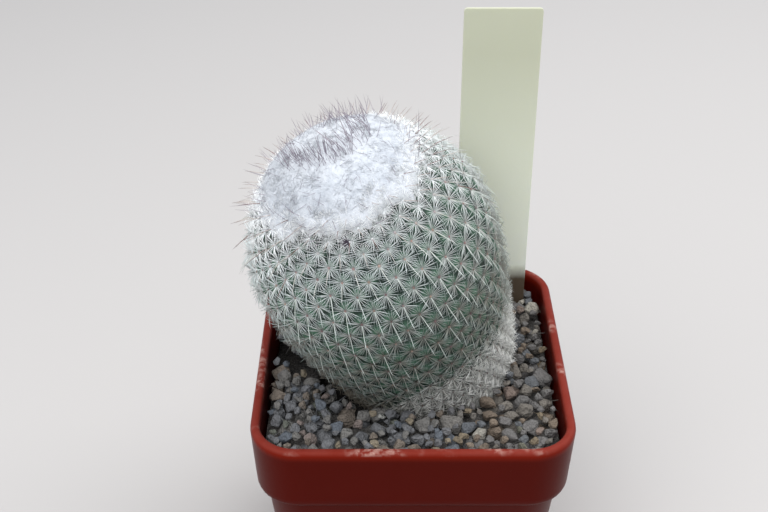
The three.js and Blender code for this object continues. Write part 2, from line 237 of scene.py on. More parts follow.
pot_body = place_in_scene(
    "pot_blank",
    closed_skin("pot_blank", [square_ring(h, pot_corner(h, z), z) for h, z in POT_OUTSIDE]),
)
drill_mesh = bpy.data.meshes.new("drain_drill")
drill = bmesh.new()
for x, y in [(1, 1), (1, -1), (-1, 1), (-1, -1)]:
    pin = bmesh.ops.create_cone(
        drill,
        cap_ends=True,
        segments=24,
        radius1=DRAIN_RADIUS * MM,
        radius2=DRAIN_RADIUS * MM,
        depth=6 * MM,
    )
    shift = (x * DRAIN_OFFSET * MM, y * DRAIN_OFFSET * MM, 0)
    bmesh.ops.translate(drill, verts=pin["verts"], vec=shift)
drill.to_mesh(drill_mesh)
drill.free()
drill_piece = place_in_scene("drain_drill", drill_mesh)
drilling = pot_body.modifiers.new("drain_holes", "BOOLEAN")
drilling.operation = "DIFFERENCE"
drilling.object = drill_piece
moulded_pot = as_plain_piece("moulded_pot", pot_body)
bpy.data.objects.remove(drill_piece)

# Moulded polypropylene: satin and saturated, with a fine mould grain and slight mottling. A lighter
# red band just under the rim is a painted glow, for light that shines through the thin wall there.
# The rim's own top is chalky with wear, dust and dry lime, and lightened further as a painted highlight.
pot_plastic, tree, shader = new_finish(
    "moulded_terracotta_polypropylene",
    Roughness=0.36,
    IOR=1.49,
    Specular_IOR_Level=0.07,
    Specular_Tint=(1.0, 0.35, 0.25, 1.0),
)
place = add_node(tree, "ShaderNodeTexCoord").outputs["Object"]
height = add_node(tree, "ShaderNodeSeparateXYZ", {0: place}).outputs["Z"]
mottle = add_node(tree, "ShaderNodeTexNoise", {"Vector": place, "Scale": 120.0, "Detail": 3.0})
body_colour = add_node(
    tree,
    "ShaderNodeMix",
    {0: mottle.outputs[0], 6: linear("#470a04"), 7: linear("#4e0c05")},
    data_type="RGBA",
)
# Painted glow: the red turns lighter just under the rim, for light through the thin wall.
painted_glow_band = add_node(
    tree, "ShaderNodeMapRange", {0: height, 1: 0.0478, 2: 0.0495}, interpolation_type="SMOOTHSTEP"
)
painted_glow_colour = add_node(
    tree,
    "ShaderNodeMix",
    {0: painted_glow_band.outputs[0], 6: body_colour.outputs[2], 7: linear("#6f190c")},
    data_type="RGBA",
)
# The rim's top gets chalk and dust specks. They are real wear and dust, and partly a painted highlight.
on_rim = add_node(
    tree, "ShaderNodeMapRange", {0: height, 1: 0.0492, 2: 0.0498}, interpolation_type="SMOOTHSTEP"
)
chalk_and_highlight_noise = add_node(tree, "ShaderNodeTexNoise", {"Vector": place, "Scale": 420.0, "Detail": 4.0})
chalk_and_highlight_cut = add_node(tree, "ShaderNodeMapRange", {0: chalk_and_highlight_noise.outputs[0], 1: 0.25, 2: 0.75, 3: 0.45, 4: 1.0})
chalk_and_highlight = add_node(
    tree, "ShaderNodeMath", {0: on_rim.outputs[0], 1: chalk_and_highlight_cut.outputs[0]}, operation="MULTIPLY"
)
worn_and_highlit = add_node(
    tree,
    "ShaderNodeMix",
    {0: chalk_and_highlight.outputs[0], 6: painted_glow_colour.outputs[2], 7: linear("#78322a")},
    data_type="RGBA",
)
specks = add_node(tree, "ShaderNodeTexNoise", {"Vector": place, "Scale": 900.0, "Detail": 4.0})
patches = add_node(tree, "ShaderNodeTexNoise", {"Vector": place, "Scale": 130.0, "Detail": 2.0})
speck_cut = add_node(tree, "ShaderNodeMapRange", {0: specks.outputs[0], 1: 0.42, 2: 0.66})
patch_cut = add_node(tree, "ShaderNodeMapRange", {0: patches.outputs[0], 1: 0.5, 2: 0.64})
speckled_share = add_node(
    tree, "ShaderNodeMath", {0: speck_cut.outputs[0], 1: patch_cut.outputs[0]}, operation="MULTIPLY"
)
dust_and_glints = add_node(tree, "ShaderNodeMath", {0: speckled_share.outputs[0], 1: on_rim.outputs[0]}, operation="MULTIPLY")
dusted_and_glinting = add_node(
    tree,
    "ShaderNodeMix",
    {0: dust_and_glints.outputs[0], 6: worn_and_highlit.outputs[2], 7: linear("#b18b81")},
    data_type="RGBA",
)
tree.links.new(dusted_and_glinting.outputs[2], shader.inputs["Base Color"])
grain = add_node(tree, "ShaderNodeTexNoise", {"Vector": place, "Scale": 2600.0, "Detail": 2.0})
grain_bump = add_node(
    tree, "ShaderNodeBump", {"Height": grain.outputs[0], "Strength": 0.12, "Distance": 0.0001}
)
tree.links.new(grain_bump.outputs[0], shader.inputs["Normal"])
moulded_pot.data.materials.append(pot_plastic)
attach(moulded_pot, "root")
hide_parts("pot")


# Potting mix: peat with fine grit, pressed in under the top dressing. It keeps its solid, which the
# stones hide but for the drain holes.
potting_mix, tree, shader = new_finish("damp_peat_and_grit", Roughness=0.95)
place = add_node(tree, "ShaderNodeTexCoord").outputs["Object"]
crumbs = add_node(tree, "ShaderNodeTexVoronoi", {"Vector": place, "Scale": 700.0})
crumb_ramp = add_node(tree, "ShaderNodeValToRGB", {0: crumbs.outputs["Color"]})
crumb_ramp.color_ramp.elements[0].color = linear("#2c231c")
crumb_ramp.color_ramp.elements[1].color = linear("#57483a")
tree.links.new(crumb_ramp.outputs[0], shader.inputs["Base Color"])
crumb_bump = add_node(
    tree, "ShaderNodeBump", {"Height": crumbs.outputs["Distance"], "Strength": 0.8, "Distance": 0.0006}
)
tree.links.new(crumb_bump.outputs[0], shader.inputs["Normal"])
soil = frame["nodes"]["soil"]
soil.material_slots[0].material = potting_mix


# Stem: one grown body, a leaning club of firm green flesh. Its skin stands up in a small rounded
# tubercle under each cluster of spines, and the tubercles follow each other by the golden angle.
AXIS = np.array([(4.9, 4.0, 42.0), (-0.6, 2.4, 57.5), (-9.8, -3.1, 81.7), (-15.0, -4.8, 96.0)])
PROFILE = np.array(
    [
        (0, 14.8),
        (4.5, 16.3),
        (9.5, 17.2),
        (15, 18.5),
        (21, 19.8),
        (29, 21.2),
        (38, 21.1),
        (46, 18.0),
        (52, 13.4),
        (55.9, 7.8),
        (58.2, 0),
    ]
)
ROOT_FOOT = 25.0
ROOT_TAPER = [(0.02, 1.5), (0.8, 4), (3.5, 8), (7, 10.9), (10.4, 12.4)]
TUBERCLE_TOP = -0.6
TUBERCLE_VALLEY = -1.6
DOME_UNDER_WOOL = -1.95
GOLDEN_TURN = 0.381966
RISE = 0.00437
FIRST_ANGLE = 0.25
WOOL_EDGE = 0.79
STEM_COLUMNS = 320
STEM_ROWS = 230

bezier_share = np.linspace(0, 1, 2001)[:, None]
axis_places = (
    (1 - bezier_share) ** 3 * AXIS[0]
    + 3 * (1 - bezier_share) ** 2 * bezier_share * AXIS[1]
    + 3 * (1 - bezier_share) * bezier_share**2 * AXIS[2]
    + bezier_share**3 * AXIS[3]
)
axis_slopes = np.gradient(axis_places, axis=0)
axis_steps = np.linalg.norm(np.diff(axis_places, axis=0), axis=1)
axis_lengths = np.concatenate([[0], np.cumsum(axis_steps)])


def unit(vectors):
    """The same directions with a length of one."""
    return vectors / np.maximum(np.linalg.norm(vectors, axis=-1, keepdims=True), 1e-12)


def profile_at(v):
    """Distance along the axis and radius at v from 0 at the collar to 1 at the growing point, with
    the direction in which the profile runs there."""
    last = len(PROFILE) - 1
    reach = np.clip(v, 0, 1) * last
    i = np.minimum(reach.astype(int), last - 1)
    w = (reach - i)[..., None]
    before, here = PROFILE[np.maximum(i - 1, 0)], PROFILE[i]
    after, beyond = PROFILE[i + 1], PROFILE[np.minimum(i + 2, last)]
    start, end = (after - before) / 2, (beyond - here) / 2
    cubic = 2 * here - 2 * after + start + end
    square = 3 * after - 3 * here - 2 * start - end
    place = cubic * w**3 + square * w**2 + start * w + here
    return place, unit(3 * cubic * w**2 + 2 * square * w + start)


def stem_surface(v, angle, lift):
    """Places on the stem in millimetres at a lift from its outline, with the directions out of the
    surface and up along it."""
    v, angle, lift = np.broadcast_arrays(
        np.asarray(v, float), np.asarray(angle, float), np.asarray(lift, float)
    )
    along, slope = profile_at(v)
    s = np.clip(along[..., 0], 0, axis_lengths[-1])
    middle = np.stack([np.interp(s, axis_lengths, axis_places[:, k]) for k in range(3)], axis=-1)
    up = unit(np.stack([np.interp(s, axis_lengths, axis_slopes[:, k]) for k in range(3)], axis=-1))
    side = unit(np.array([1.0, 0, 0]) - up * up[..., :1])
    front = np.cross(up, side)
    radial = side * np.cos(angle)[..., None] + front * np.sin(angle)[..., None]
    out = radial * slope[..., :1] - up * slope[..., 1:]
    climb = radial * slope[..., 1:] + up * slope[..., :1]
    return middle + radial * along[..., 1:] + out * lift[..., None], out, climb


def smooth_step(value, low, high):
    """0 below low, 1 above high, and a smooth rise between them."""
    share = np.clip((value - low) / (high - low), 0, 1)
    return share * share * (3 - 2 * share)


def wool_edge(angle):
    """Where the wool ends at an angle round the stem, as v."""
    wave = np.sin(3 * angle + 0.6) + np.sin(7 * angle + 2.1) + 0.8 * np.sin(12 * angle)
    return WOOL_EDGE + 0.007 * wave


# Height along the surface in units of its own radius, in which the rows are evenly spaced.
latitude_v = np.linspace(0, 1, 401)
latitude_line = profile_at(latitude_v)[0]
latitude_step = np.linalg.norm(np.diff(latitude_line, axis=0), axis=1)
latitude_radius = np.maximum((latitude_line[:-1, 1] + latitude_line[1:, 1]) / 2, 0.2)
latitudes = np.concatenate([[0], np.cumsum(latitude_step / latitude_radius)])

areole_index = np.arange(int(np.interp(WOOL_EDGE + 0.04, latitude_v, latitudes) / RISE))
areole_angle = FIRST_ANGLE + 2 * math.pi * ((areole_index * GOLDEN_TURN) % 1)
areole_v = np.interp(areole_index * RISE, latitudes, latitude_v)
areole_radius = profile_at(areole_v)[0][:, 1]
areole_place, areole_out, areole_climb = stem_surface(areole_v, areole_angle, TUBERCLE_TOP)
areole_side = np.cross(areole_climb, areole_out)


def marked_points(name, places, **marks):
    """Loose points in millimetres that carry a node tree, with a named value for each point."""
    mesh = bpy.data.meshes.new(name)
    mesh.from_pydata((np.asarray(places) * MM).tolist(), [], [])
    add_marks(mesh, **marks)
    return place_in_scene(name, mesh)


def add_marks(mesh, **marks):
    """Stores a named number, direction or colour at each of the mesh's points."""
    kinds = {0: ("FLOAT", "value"), 3: ("FLOAT_VECTOR", "vector"), 4: ("FLOAT_COLOR", "color")}
    for mark, values in marks.items():
        values = np.asarray(values, np.float32)
        kind, field = kinds[0 if values.ndim == 1 else values.shape[1]]
        mesh.attributes.new(mark, kind, "POINT").data.foreach_set(field, values.ravel())


def grown(name, carrier, tree, finish, **sizes):
    """Runs a node tree on the carrier with these sizes and keeps the result as a plain mesh."""
    modifier = carrier.modifiers.new(tree.name, "NODES")
    modifier.node_group = tree
    values = {key.replace("_", " "): value for key, value in sizes.items()} | {"Finish": finish}
    for item in tree.interface.items_tree:
        if item.item_type == "SOCKET" and item.in_out == "INPUT" and item.name in values:
            modifier[item.identifier] = values.pop(item.name)
    assert not values, f"{tree.name} has no inputs named {sorted(values)}"
    piece = as_plain_piece(name, carrier)
    used = ("tint", "tip", "along", "valley", "sharp_face", "sharp_edge")
    spare = [
        a.name
        for a in piece.data.attributes
        if not (a.is_internal or a.is_required or a.name in used)
    ]
    for mark in spare:
        piece.data.attributes.remove(piece.data.attributes[mark])
    piece.data.materials.clear()
    piece.data.materials.append(finish)
    return piece


def new_growth(name, inputs, marks):
    """An empty Geometry Nodes tree with these named inputs, which reads these marks. Returns it,
    its inputs, the marks and its result."""
    tree = bpy.data.node_groups.new(name, "GeometryNodeTree")
    tree.interface.new_socket("Geometry", in_out="OUTPUT", socket_type="NodeSocketGeometry")
    tree.interface.new_socket("Geometry", in_out="INPUT", socket_type="NodeSocketGeometry")
    for socket, kind in inputs.items():
        tree.interface.new_socket(socket, in_out="INPUT", socket_type="NodeSocket" + kind)
    tree.interface.new_socket("Finish", in_out="INPUT", socket_type="NodeSocketMaterial")
    read = {
        mark: add_node(tree, "GeometryNodeInputNamedAttribute", {"Name": mark}, data_type=kind).outputs[0]
        for mark, kind in marks.items()
    }
    given = tree.nodes.new("NodeGroupInput").outputs
    return tree, given, read, tree.nodes.new("NodeGroupOutput").inputs


def finish_growth(tree, geometry, given, result):
    """Ends a tree with real geometry in its own material."""
    real = add_node(tree, "GeometryNodeRealizeInstances", {0: geometry})
    sockets = {0: real.outputs[0], "Material": given["Finish"]}
    painted = add_node(tree, "GeometryNodeSetMaterial", sockets)
    tree.links.new(painted.outputs[0], result["Geometry"])


# The skin tree lifts the skin round each areole, and notes how deep each point lies.
skin_tree, given, marks, result = new_growth(
    "tubercles",
    {"Areoles": "Object", "Rise": "Float"},
    {"reach": "FLOAT", "relief": "FLOAT", "out": "FLOAT_VECTOR"},
)
areole_cloud = add_node(skin_tree, "GeometryNodeObjectInfo", {"Object": given["Areoles"]})
nearest = add_node(
    skin_tree, "GeometryNodeProximity", {0: areole_cloud.outputs["Geometry"]}, target_element="POINTS"
)
valley = add_node(
    skin_tree,
    "ShaderNodeMapRange",
    {0: nearest.outputs["Distance"], 1: 0.0, 2: marks["reach"]},
    interpolation_type="SMOOTHSTEP",
)
crest = add_node(skin_tree, "ShaderNodeMath", {0: 1.0, 1: valley.outputs[0]}, operation="SUBTRACT")
lifted = add_node(
    skin_tree, "ShaderNodeMath", {0: crest.outputs[0], 1: marks["relief"]}, operation="MULTIPLY"
)
lift = add_node(skin_tree, "ShaderNodeMath", {0: lifted.outputs[0], 1: given["Rise"]}, operation="MULTIPLY")
offset = add_node(
    skin_tree,
    "ShaderNodeVectorMath",
    {0: marks["out"], "Scale": lift.outputs[0]},
    operation="SCALE",
)
noted = add_node(
    skin_tree,
    "GeometryNodeStoreNamedAttribute",
    {0: given["Geometry"], "Name": "valley", "Value": valley.outputs[0]},
    data_type="FLOAT",
    domain="POINT",
)
raised = add_node(skin_tree, "GeometryNodeSetPosition", {0: noted.outputs[0], "Offset": offset.outputs[0]})
finish_growth(skin_tree, raised.outputs[0], given, result)

# Waxy green skin: blue-green and matt on the tubercles, and corky grey on the oldest skin near the
# stones. Towards the creases between the tubercles it is darkened to near black as painted shade.
stem_skin, tree, shader = new_finish("waxy_cactus_skin", Roughness=0.6)
place = add_node(tree, "ShaderNodeTexCoord").outputs["Object"]
depth = add_node(tree, "ShaderNodeAttribute", attribute_name="valley").outputs["Fac"]
age = add_node(tree, "ShaderNodeAttribute", attribute_name="along").outputs["Fac"]
blotch = add_node(tree, "ShaderNodeTexNoise", {"Vector": place, "Scale": 500.0, "Detail": 3.0})
fresh = add_node(
    tree,
    "ShaderNodeMix",
    {0: blotch.outputs[0], 6: linear("#5f9276"), 7: linear("#84b594")},
    data_type="RGBA",
)
corked = add_node(
    tree, "ShaderNodeMix", {0: age, 6: linear("#9b9a8f"), 7: fresh.outputs[2]}, data_type="RGBA"
)
# Painted shade: the skin turns near black towards the creases.
crease_shaded = add_node(
    tree, "ShaderNodeMix", {0: depth, 6: corked.outputs[2], 7: linear("#12261f")}, data_type="RGBA"
)
tree.links.new(crease_shaded.outputs[2], shader.inputs["Base Color"])
pores = add_node(tree, "ShaderNodeTexNoise", {"Vector": place, "Scale": 4000.0, "Detail": 2.0})
pore_bump = add_node(
    tree, "ShaderNodeBump", {"Height": pores.outputs[0], "Strength": 0.3, "Distance": 0.0001}
)
tree.links.new(pore_bump.outputs[0], shader.inputs["Normal"])

column = np.linspace(0, 2 * math.pi, STEM_COLUMNS, endpoint=False)
stem_row = np.linspace(0, 0.992, STEM_ROWS)[:, None]
sunk = smooth_step(stem_row, wool_edge(column) + 0.015, wool_edge(column) + 0.05)
buried = 1 - smooth_step(stem_row, 0.0, 0.03)
valley_lift = TUBERCLE_VALLEY + (DOME_UNDER_WOOL - TUBERCLE_VALLEY) * sunk
skin_place, skin_out, _ = stem_surface(stem_row, column, valley_lift)
stem_foot = AXIS[0] * (1, 1, 0) + (0, 0, ROOT_FOOT)
root_rings = [
    stem_foot + np.stack([r * np.cos(column), r * np.sin(column), np.full_like(column, z)], axis=1)
    for z, r in ROOT_TAPER
]
skin_mesh = closed_skin("stem_blank", [*root_rings, *skin_place])
root_count = len(root_rings) * STEM_COLUMNS
row_radius = profile_at(stem_row)[0][..., 1] + 0 * column
skin_relief = (1 - sunk) * (1 - buried)


def over_root(values):
    """Values for the skin's points, with nothing on the root and at the two ends."""
    values = values.reshape(-1, *values.shape[2:])
    head = np.zeros((root_count, *values.shape[1:]))
    tail = np.zeros((2, *values.shape[1:]))
    return np.concatenate([head, values, tail])


add_marks(
    skin_mesh,
    out=over_root(skin_out),
    relief=over_root(skin_relief),
    reach=np.maximum(over_root(0.105 * row_radius * MM), 0.0004),
    along=over_root(smooth_step(stem_row, 0.03, 0.3) + 0 * column),
)
areole_points = marked_points("areole_points", areole_place)
stem = grown(
    "stem_body",
    place_in_scene("stem_blank", skin_mesh),
    skin_tree,
    stem_skin,
    Areoles=areole_points,
    Rise=(TUBERCLE_TOP - TUBERCLE_VALLEY) * MM,
)
bpy.data.objects.remove(areole_points)
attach(stem, "root")
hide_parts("stem")


# Radial spines: some thirty fine white bristles to each areole, grown flat against the stem in a
# star. Neighbouring stars cross, so that they cover most of the skin.
RADIALS = 31
RADIAL_LENGTH = 2.75
RADIAL_SLENDERNESS = 0.0215
RADIAL_START = 0.14
# The stem's radius where the spines have their full length.
FULL_RADIUS = 19.9
# How much higher in v the matted spines reach on the right, which faces this far round.
MATTED_RISE = 0.23
MATTED_TURN = 0.45

# The spine tree plants one tapering, bent bristle on each point, along the point's own aim.
spine_tree, given, marks, result = new_growth(
    "bristles",
    {"Sides": "Int", "Segments": "Int", "Slenderness": "Float", "Waist": "Float", "Curl": "Float"},
    {"aim": "FLOAT_VECTOR", "back": "FLOAT_VECTOR", "length": "FLOAT"},
)
blade = add_node(
    spine_tree,
    "GeometryNodeMeshCone",
    {
        "Vertices": given["Sides"],
        "Side Segments": given["Segments"],
        "Radius Top": 0.0,
        "Radius Bottom": given["Slenderness"],
        "Depth": 1.0,
    },
    fill_type="NGON",
)
blade_place = add_node(spine_tree, "GeometryNodeInputPosition").outputs[0]
blade_xyz = add_node(spine_tree, "ShaderNodeSeparateXYZ", {0: blade_place}).outputs
# Widens the straight cone to a bristle that keeps its thickness until near its tip, with a waist
# where it leaves the felt.
left_over = add_node(spine_tree, "ShaderNodeMath", {0: 1.02, 1: blade_xyz["Z"]}, operation="SUBTRACT")
full = add_node(spine_tree, "ShaderNodeMath", {0: left_over.outputs[0], 1: -0.75}, operation="POWER")
waist = add_node(
    spine_tree, "ShaderNodeMapRange", {0: blade_xyz["Z"], 1: 0.0, 2: 0.33, 3: given["Waist"], 4: 1.0}
)
fuller = add_node(
    spine_tree, "ShaderNodeMath", {0: full.outputs[0], 1: waist.outputs[0]}, operation="MULTIPLY"
)
wide_x, wide_y = (
    add_node(
        spine_tree, "ShaderNodeMath", {0: blade_xyz[axis], 1: fuller.outputs[0]}, operation="MULTIPLY"
    )
    for axis in "XY"
)
bow = add_node(spine_tree, "ShaderNodeMath", {0: blade_xyz["Z"], 1: 2.0}, operation="POWER")
bent = add_node(spine_tree, "ShaderNodeMath", {0: bow.outputs[0], 1: given["Curl"]}, operation="MULTIPLY")
bent_x = add_node(
    spine_tree, "ShaderNodeMath", {0: wide_x.outputs[0], 1: bent.outputs[0]}, operation="SUBTRACT"
)
bent_place = add_node(
    spine_tree, "ShaderNodeCombineXYZ", {0: bent_x.outputs[0], 1: wide_y.outputs[0], 2: blade_xyz["Z"]}
)
along = add_node(
    spine_tree,
    "GeometryNodeStoreNamedAttribute",
    {0: blade.outputs["Mesh"], "Name": "along", "Value": blade_xyz["Z"]},
    data_type="FLOAT",
    domain="POINT",
)
bristle = add_node(
    spine_tree, "GeometryNodeSetPosition", {0: along.outputs[0], "Position": bent_place.outputs[0]}
)
soft_bristle = add_node(spine_tree, "GeometryNodeSetShadeSmooth", {0: bristle.outputs[0]})
turned = add_node(
    spine_tree,
    "FunctionNodeAxesToRotation",
    {0: marks["aim"], 1: marks["back"]},
    primary_axis="Z",
    secondary_axis="X",
)
planted = add_node(
    spine_tree,
    "GeometryNodeInstanceOnPoints",
    {
        "Points": given["Geometry"],
        "Instance": soft_bristle.outputs[0],
        "Rotation": turned.outputs[0],
        "Scale": marks["length"],
    },
)
finish_growth(spine_tree, planted.outputs[0], given, result)

# Dry white spine: horny and slightly glossy. The point's own tint runs into its tip's colour.
spine_horn, tree, shader = new_finish("horny_white_spine", Roughness=0.5)
along, tint, tip = (
    add_node(tree, "ShaderNodeAttribute", attribute_name=name).outputs[output]
    for name, output in [("along", "Fac"), ("tint", "Color"), ("tip", "Color")]
)
near_tip = add_node(
    tree, "ShaderNodeMapRange", {0: along, 1: 0.25, 2: 0.95}, interpolation_type="SMOOTHSTEP"
)
tipped = add_node(tree, "ShaderNodeMix", {0: near_tip.outputs[0], 6: tint, 7: tip}, data_type="RGBA")
tree.links.new(tipped.outputs[2], shader.inputs["Base Color"])


def blend_tints(share, low, high):
    """A colour for each share between two hex colours."""
    share = np.asarray(share)[..., None]
    return np.array(linear(low)) * (1 - share) + np.array(linear(high)) * share


def drawn_to(tints, share, hex_colour):
    """Tints that have moved their own share of the way to one colour."""
    return tints + (np.array(linear(hex_colour)) - tints) * share[:, None]


def right_side_of(angle):
    """How far an angle lies on the side where the matted spines reach highest, from 0 to 1."""
    return smooth_step(np.cos(angle + MATTED_TURN), -0.45, 0.7)


# The oldest spines, round the foot and highest on its right, are matted and bleached grey.
draw = np.random.default_rng(7)
starred = np.flatnonzero(areole_v < wool_edge(areole_angle) + 0.03)
star = np.repeat(starred, RADIALS)
ray = np.tile(np.arange(RADIALS), len(starred))
ray_turn = 2 * math.pi * (ray + draw.uniform(-0.3, 0.3, len(ray))) / RADIALS
ray_turn += np.repeat(draw.uniform(0, 1, len(starred)), RADIALS)
right_side = right_side_of(areole_angle)
matted = 1 - smooth_step(areole_v - MATTED_RISE * right_side, 0.04, 0.12)
upper_stem_share = smooth_step(areole_v, 0.46, 0.75)
newest = smooth_step(areole_v, wool_edge(areole_angle) - 0.1, wool_edge(areole_angle) - 0.02)
tilt = draw.uniform(0.05, 0.24, len(ray)) + 0.75 * draw.uniform(0, 1, len(ray)) ** 4
tilt += draw.uniform(0.0, 0.5, len(ray)) * (matted + 0.4 * newest)[star]
flat_way = (
    areole_side[star] * np.cos(ray_turn)[:, None] + areole_climb[star] * np.sin(ray_turn)[:, None]
)
ray_aim = unit(flat_way + areole_out[star] * tilt[:, None])
ray_place = areole_place[star] + RADIAL_START * flat_way + 0.04 * areole_out[star]
ray_length = (
    (RADIAL_LENGTH - RADIAL_START)
    * (areole_radius[star] / FULL_RADIUS) ** 0.6
    * draw.uniform(0.8, 1.08, len(ray))
)
# Lower stars are darker grey: partly the older spines' own grey, partly painted shade on the lower stem.
ray_tint = blend_tints(upper_stem_share[star], "#8c8d84", "#f6fbfc")
ray_tip = blend_tints(upper_stem_share[star], "#8a9895", "#f4ffff")
# Stars on the lower left, towards the foot, are drawn to brown grey.
brown_top = 0.33 + 0.24 * smooth_step(-np.cos(areole_angle + 0.35), 0.1, 0.95)
lower_left_brown = 0.85 * (1 - smooth_step(areole_v, brown_top - 0.1, brown_top + 0.03)) * (1 - right_side)
# Stars on the right side, away from the matted foot, are drawn a little towards beige grey.
right_side_greyed = 0.2 * smooth_step(np.cos(areole_angle), 0.3, 0.95) * (1 - matted)
for share, base, end in [
    (matted, "#d8d8d2", "#f0f0ec"),
    (lower_left_brown, "#6c6152", "#83786a"),
    (right_side_greyed, "#b5b0a3", "#c6c4b8"),
    (newest, "#f8fbfc", "#fbfefe"),
]:
    ray_tint = drawn_to(ray_tint, share[star], base)
    ray_tip = drawn_to(ray_tip, share[star], end)
# Painted light: young stars on the left side and the newest stars under the wool's edge are brightened past
# their own colour, on top of a random tone.
painted_left_light = 0.14 * smooth_step(-np.cos(areole_angle[star]), 0.2, 1.0) * upper_stem_share[star]
tone_and_painted_light = (draw.uniform(0.78, 1.08, len(ray)) + painted_left_light + 0.14 * newest[star])[:, None]
ray_tint[:, :3] *= tone_and_painted_light
ray_tip[:, :3] = np.clip(ray_tip[:, :3] * tone_and_painted_light, 0, 0.93)
upper = np.arange(len(ray)) % 2 == 0
for name, part in [("radial_spines_even", upper), ("radial_spines_odd", ~upper)]:
    radials = grown(
        name,
        marked_points(
            "radial_points",
            ray_place[part],
            aim=ray_aim[part],
            back=areole_out[star][part],
            length=ray_length[part] * MM,
            tint=ray_tint[part],
            tip=ray_tip[part],
        ),
        spine_tree,
        spine_horn,
        Sides=3,
        Segments=3,
        Slenderness=RADIAL_SLENDERNESS,
        Waist=0.6,
        Curl=0.03,
    )
    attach(radials, "root")


# Claw spines: one long spine to most areoles, bent down the stem like a claw. They are brown while
# they are young, bleach to a greenish white and go grey at the foot. Many old ones are stubs.
CLAW_SHARE = 0.86
CLAW_LENGTH = (3.8, 5.0)
STUB_SHARE = 0.45
STUB_LENGTH = (0.7, 1.5)
CLAW_FLOOR = 48.6
LABEL_TOP = np.array([15.75, 23.0, 106.5])
LABEL_LEAN = math.radians(2.4)


def label_at(z):
    """How far back the label's sheet stands at a height. Claws and stones keep clear of it."""
    return LABEL_TOP[1] - math.tan(LABEL_LEAN) * (LABEL_TOP[2] - z)


draw = np.random.default_rng(13)
long_home = starred[draw.uniform(0, 1, len(starred)) < CLAW_SHARE]
stub_home = starred[draw.uniform(0, 1, len(starred)) < STUB_SHARE]
claw_home = np.concatenate([long_home, stub_home])
is_stub = np.arange(len(claw_home)) >= len(long_home)
count = len(claw_home)
standing = smooth_step(areole_v[claw_home], 0.62, 0.78)
claw_lift = np.where(is_stub, 0.9, 0.3 + 0.75 * standing) + draw.uniform(-0.1, 0.16, count)
claw_sway = draw.uniform(-0.14, 0.14, count) * np.where(is_stub, 4.0, 1.0)
claw_aim = unit(
    areole_out[claw_home] * claw_lift[:, None]
    + areole_climb[claw_home] * (0.5 * standing - 0.9)[:, None]
    + areole_side[claw_home] * claw_sway[:, None]
)
claw_length = np.where(
    is_stub,
    draw.uniform(*STUB_LENGTH, count),
    draw.uniform(*CLAW_LENGTH, count) * (areole_radius[claw_home] / FULL_RADIUS) ** 0.5,
)
dark = is_stub | (draw.uniform(0, 1, count) < 0.05 + 0.25 * standing)
aged = smooth_step(areole_v[claw_home], 0.2, 0.6)
claw_tint = blend_tints(aged, "#8c8e82", "#c8d1c9")
claw_tip = blend_tints(aged, "#a2a89e", "#e8f2ee")
claw_tint = drawn_to(claw_tint, standing, "#cbbfb8")
claw_tip = drawn_to(claw_tip, standing, "#85716c")
claw_tint[dark], claw_tip[dark] = linear("#84605a"), linear("#5b423e")
claw_end = areole_place[claw_home] + claw_aim * claw_length[:, None]
sheet_y = label_at((areole_place[claw_home] + 4 * claw_aim)[:, 2])
at_label = (claw_end[:, 1] > sheet_y - 0.9) & (claw_end[:, 0] > 8.0)
clear = (claw_end[:, 2] > CLAW_FLOOR) & ~at_label
claws = grown(
    "claw_spines",
    marked_points(
        "claw_points",
        areole_place[claw_home][clear],
        aim=claw_aim[clear],
        back=areole_out[claw_home][clear],
        length=claw_length[clear] * MM,
        tint=claw_tint[clear],
        tip=claw_tip[clear],
    ),
    spine_tree,
    spine_horn,
    Sides=5,
    Segments=4,
    Slenderness=0.0145,
    Waist=1.0,
    Curl=0.1,
)
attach(claws, "root")


# Foot mat: the frayed remains of the oldest spines and their felt, bleached grey. They lie tangled
# over the foot of the stem, and reach highest on its right.
FOOT_STRANDS = 20000
FOOT_TOP = 0.1


def tangled(draw, out, climb, stand):
    """Aims that lie every way along the surface and stand off it by a share between two limits."""
    lie = draw.uniform(0, 2 * math.pi, len(out))[:, None]
    flat = np.cross(climb, out) * np.cos(lie) + climb * np.sin(lie)
    return unit(flat + out * draw.uniform(*stand, len(out))[:, None])


draw = np.random.default_rng(17)
strand_v = draw.uniform(0.0, 0.4, 2 * FOOT_STRANDS)
strand_turn = draw.uniform(-math.pi, math.pi, 2 * FOOT_STRANDS)
mat_top = FOOT_TOP + MATTED_RISE * right_side_of(strand_turn)
kept = strand_v < mat_top * draw.uniform(0.6, 1.05, 2 * FOOT_STRANDS)
strand_v, strand_turn = strand_v[kept], strand_turn[kept]
count = len(strand_v)
strand_place, strand_out, strand_climb = stem_surface(strand_v, strand_turn, TUBERCLE_TOP - 0.1)
strand_aim = tangled(draw, strand_out, strand_climb, (0.15, 0.8))
bleached = smooth_step(np.cos(strand_turn), 0.25, 0.9)
strand_tint = blend_tints(draw.uniform(0.0, 0.3, count) + 0.7 * bleached, "#98958e", "#fffffc")
foot_mat = grown(
    "foot_mat",
    marked_points(
        "strand_points",
        strand_place,
        aim=strand_aim,
        back=strand_out,
        length=draw.uniform(0.7, 1.4, count) * MM,
        tint=strand_tint,
        tip=strand_tint,
    ),
    spine_tree,
    spine_horn,
    Sides=3,
    Segments=2,
    Slenderness=0.028,
    Waist=1.0,
    Curl=0.35,
)
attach(foot_mat, "root")


# Dried bud: one small withered flower bud, shrunk to a dark wrinkled scrap. It is caught under the
# spines near the wool, on the stem's front.
BUD_SIZE = (0.95, 0.75, 0.6)
BUD_V = 0.752
BUD_ANGLE = -1.5

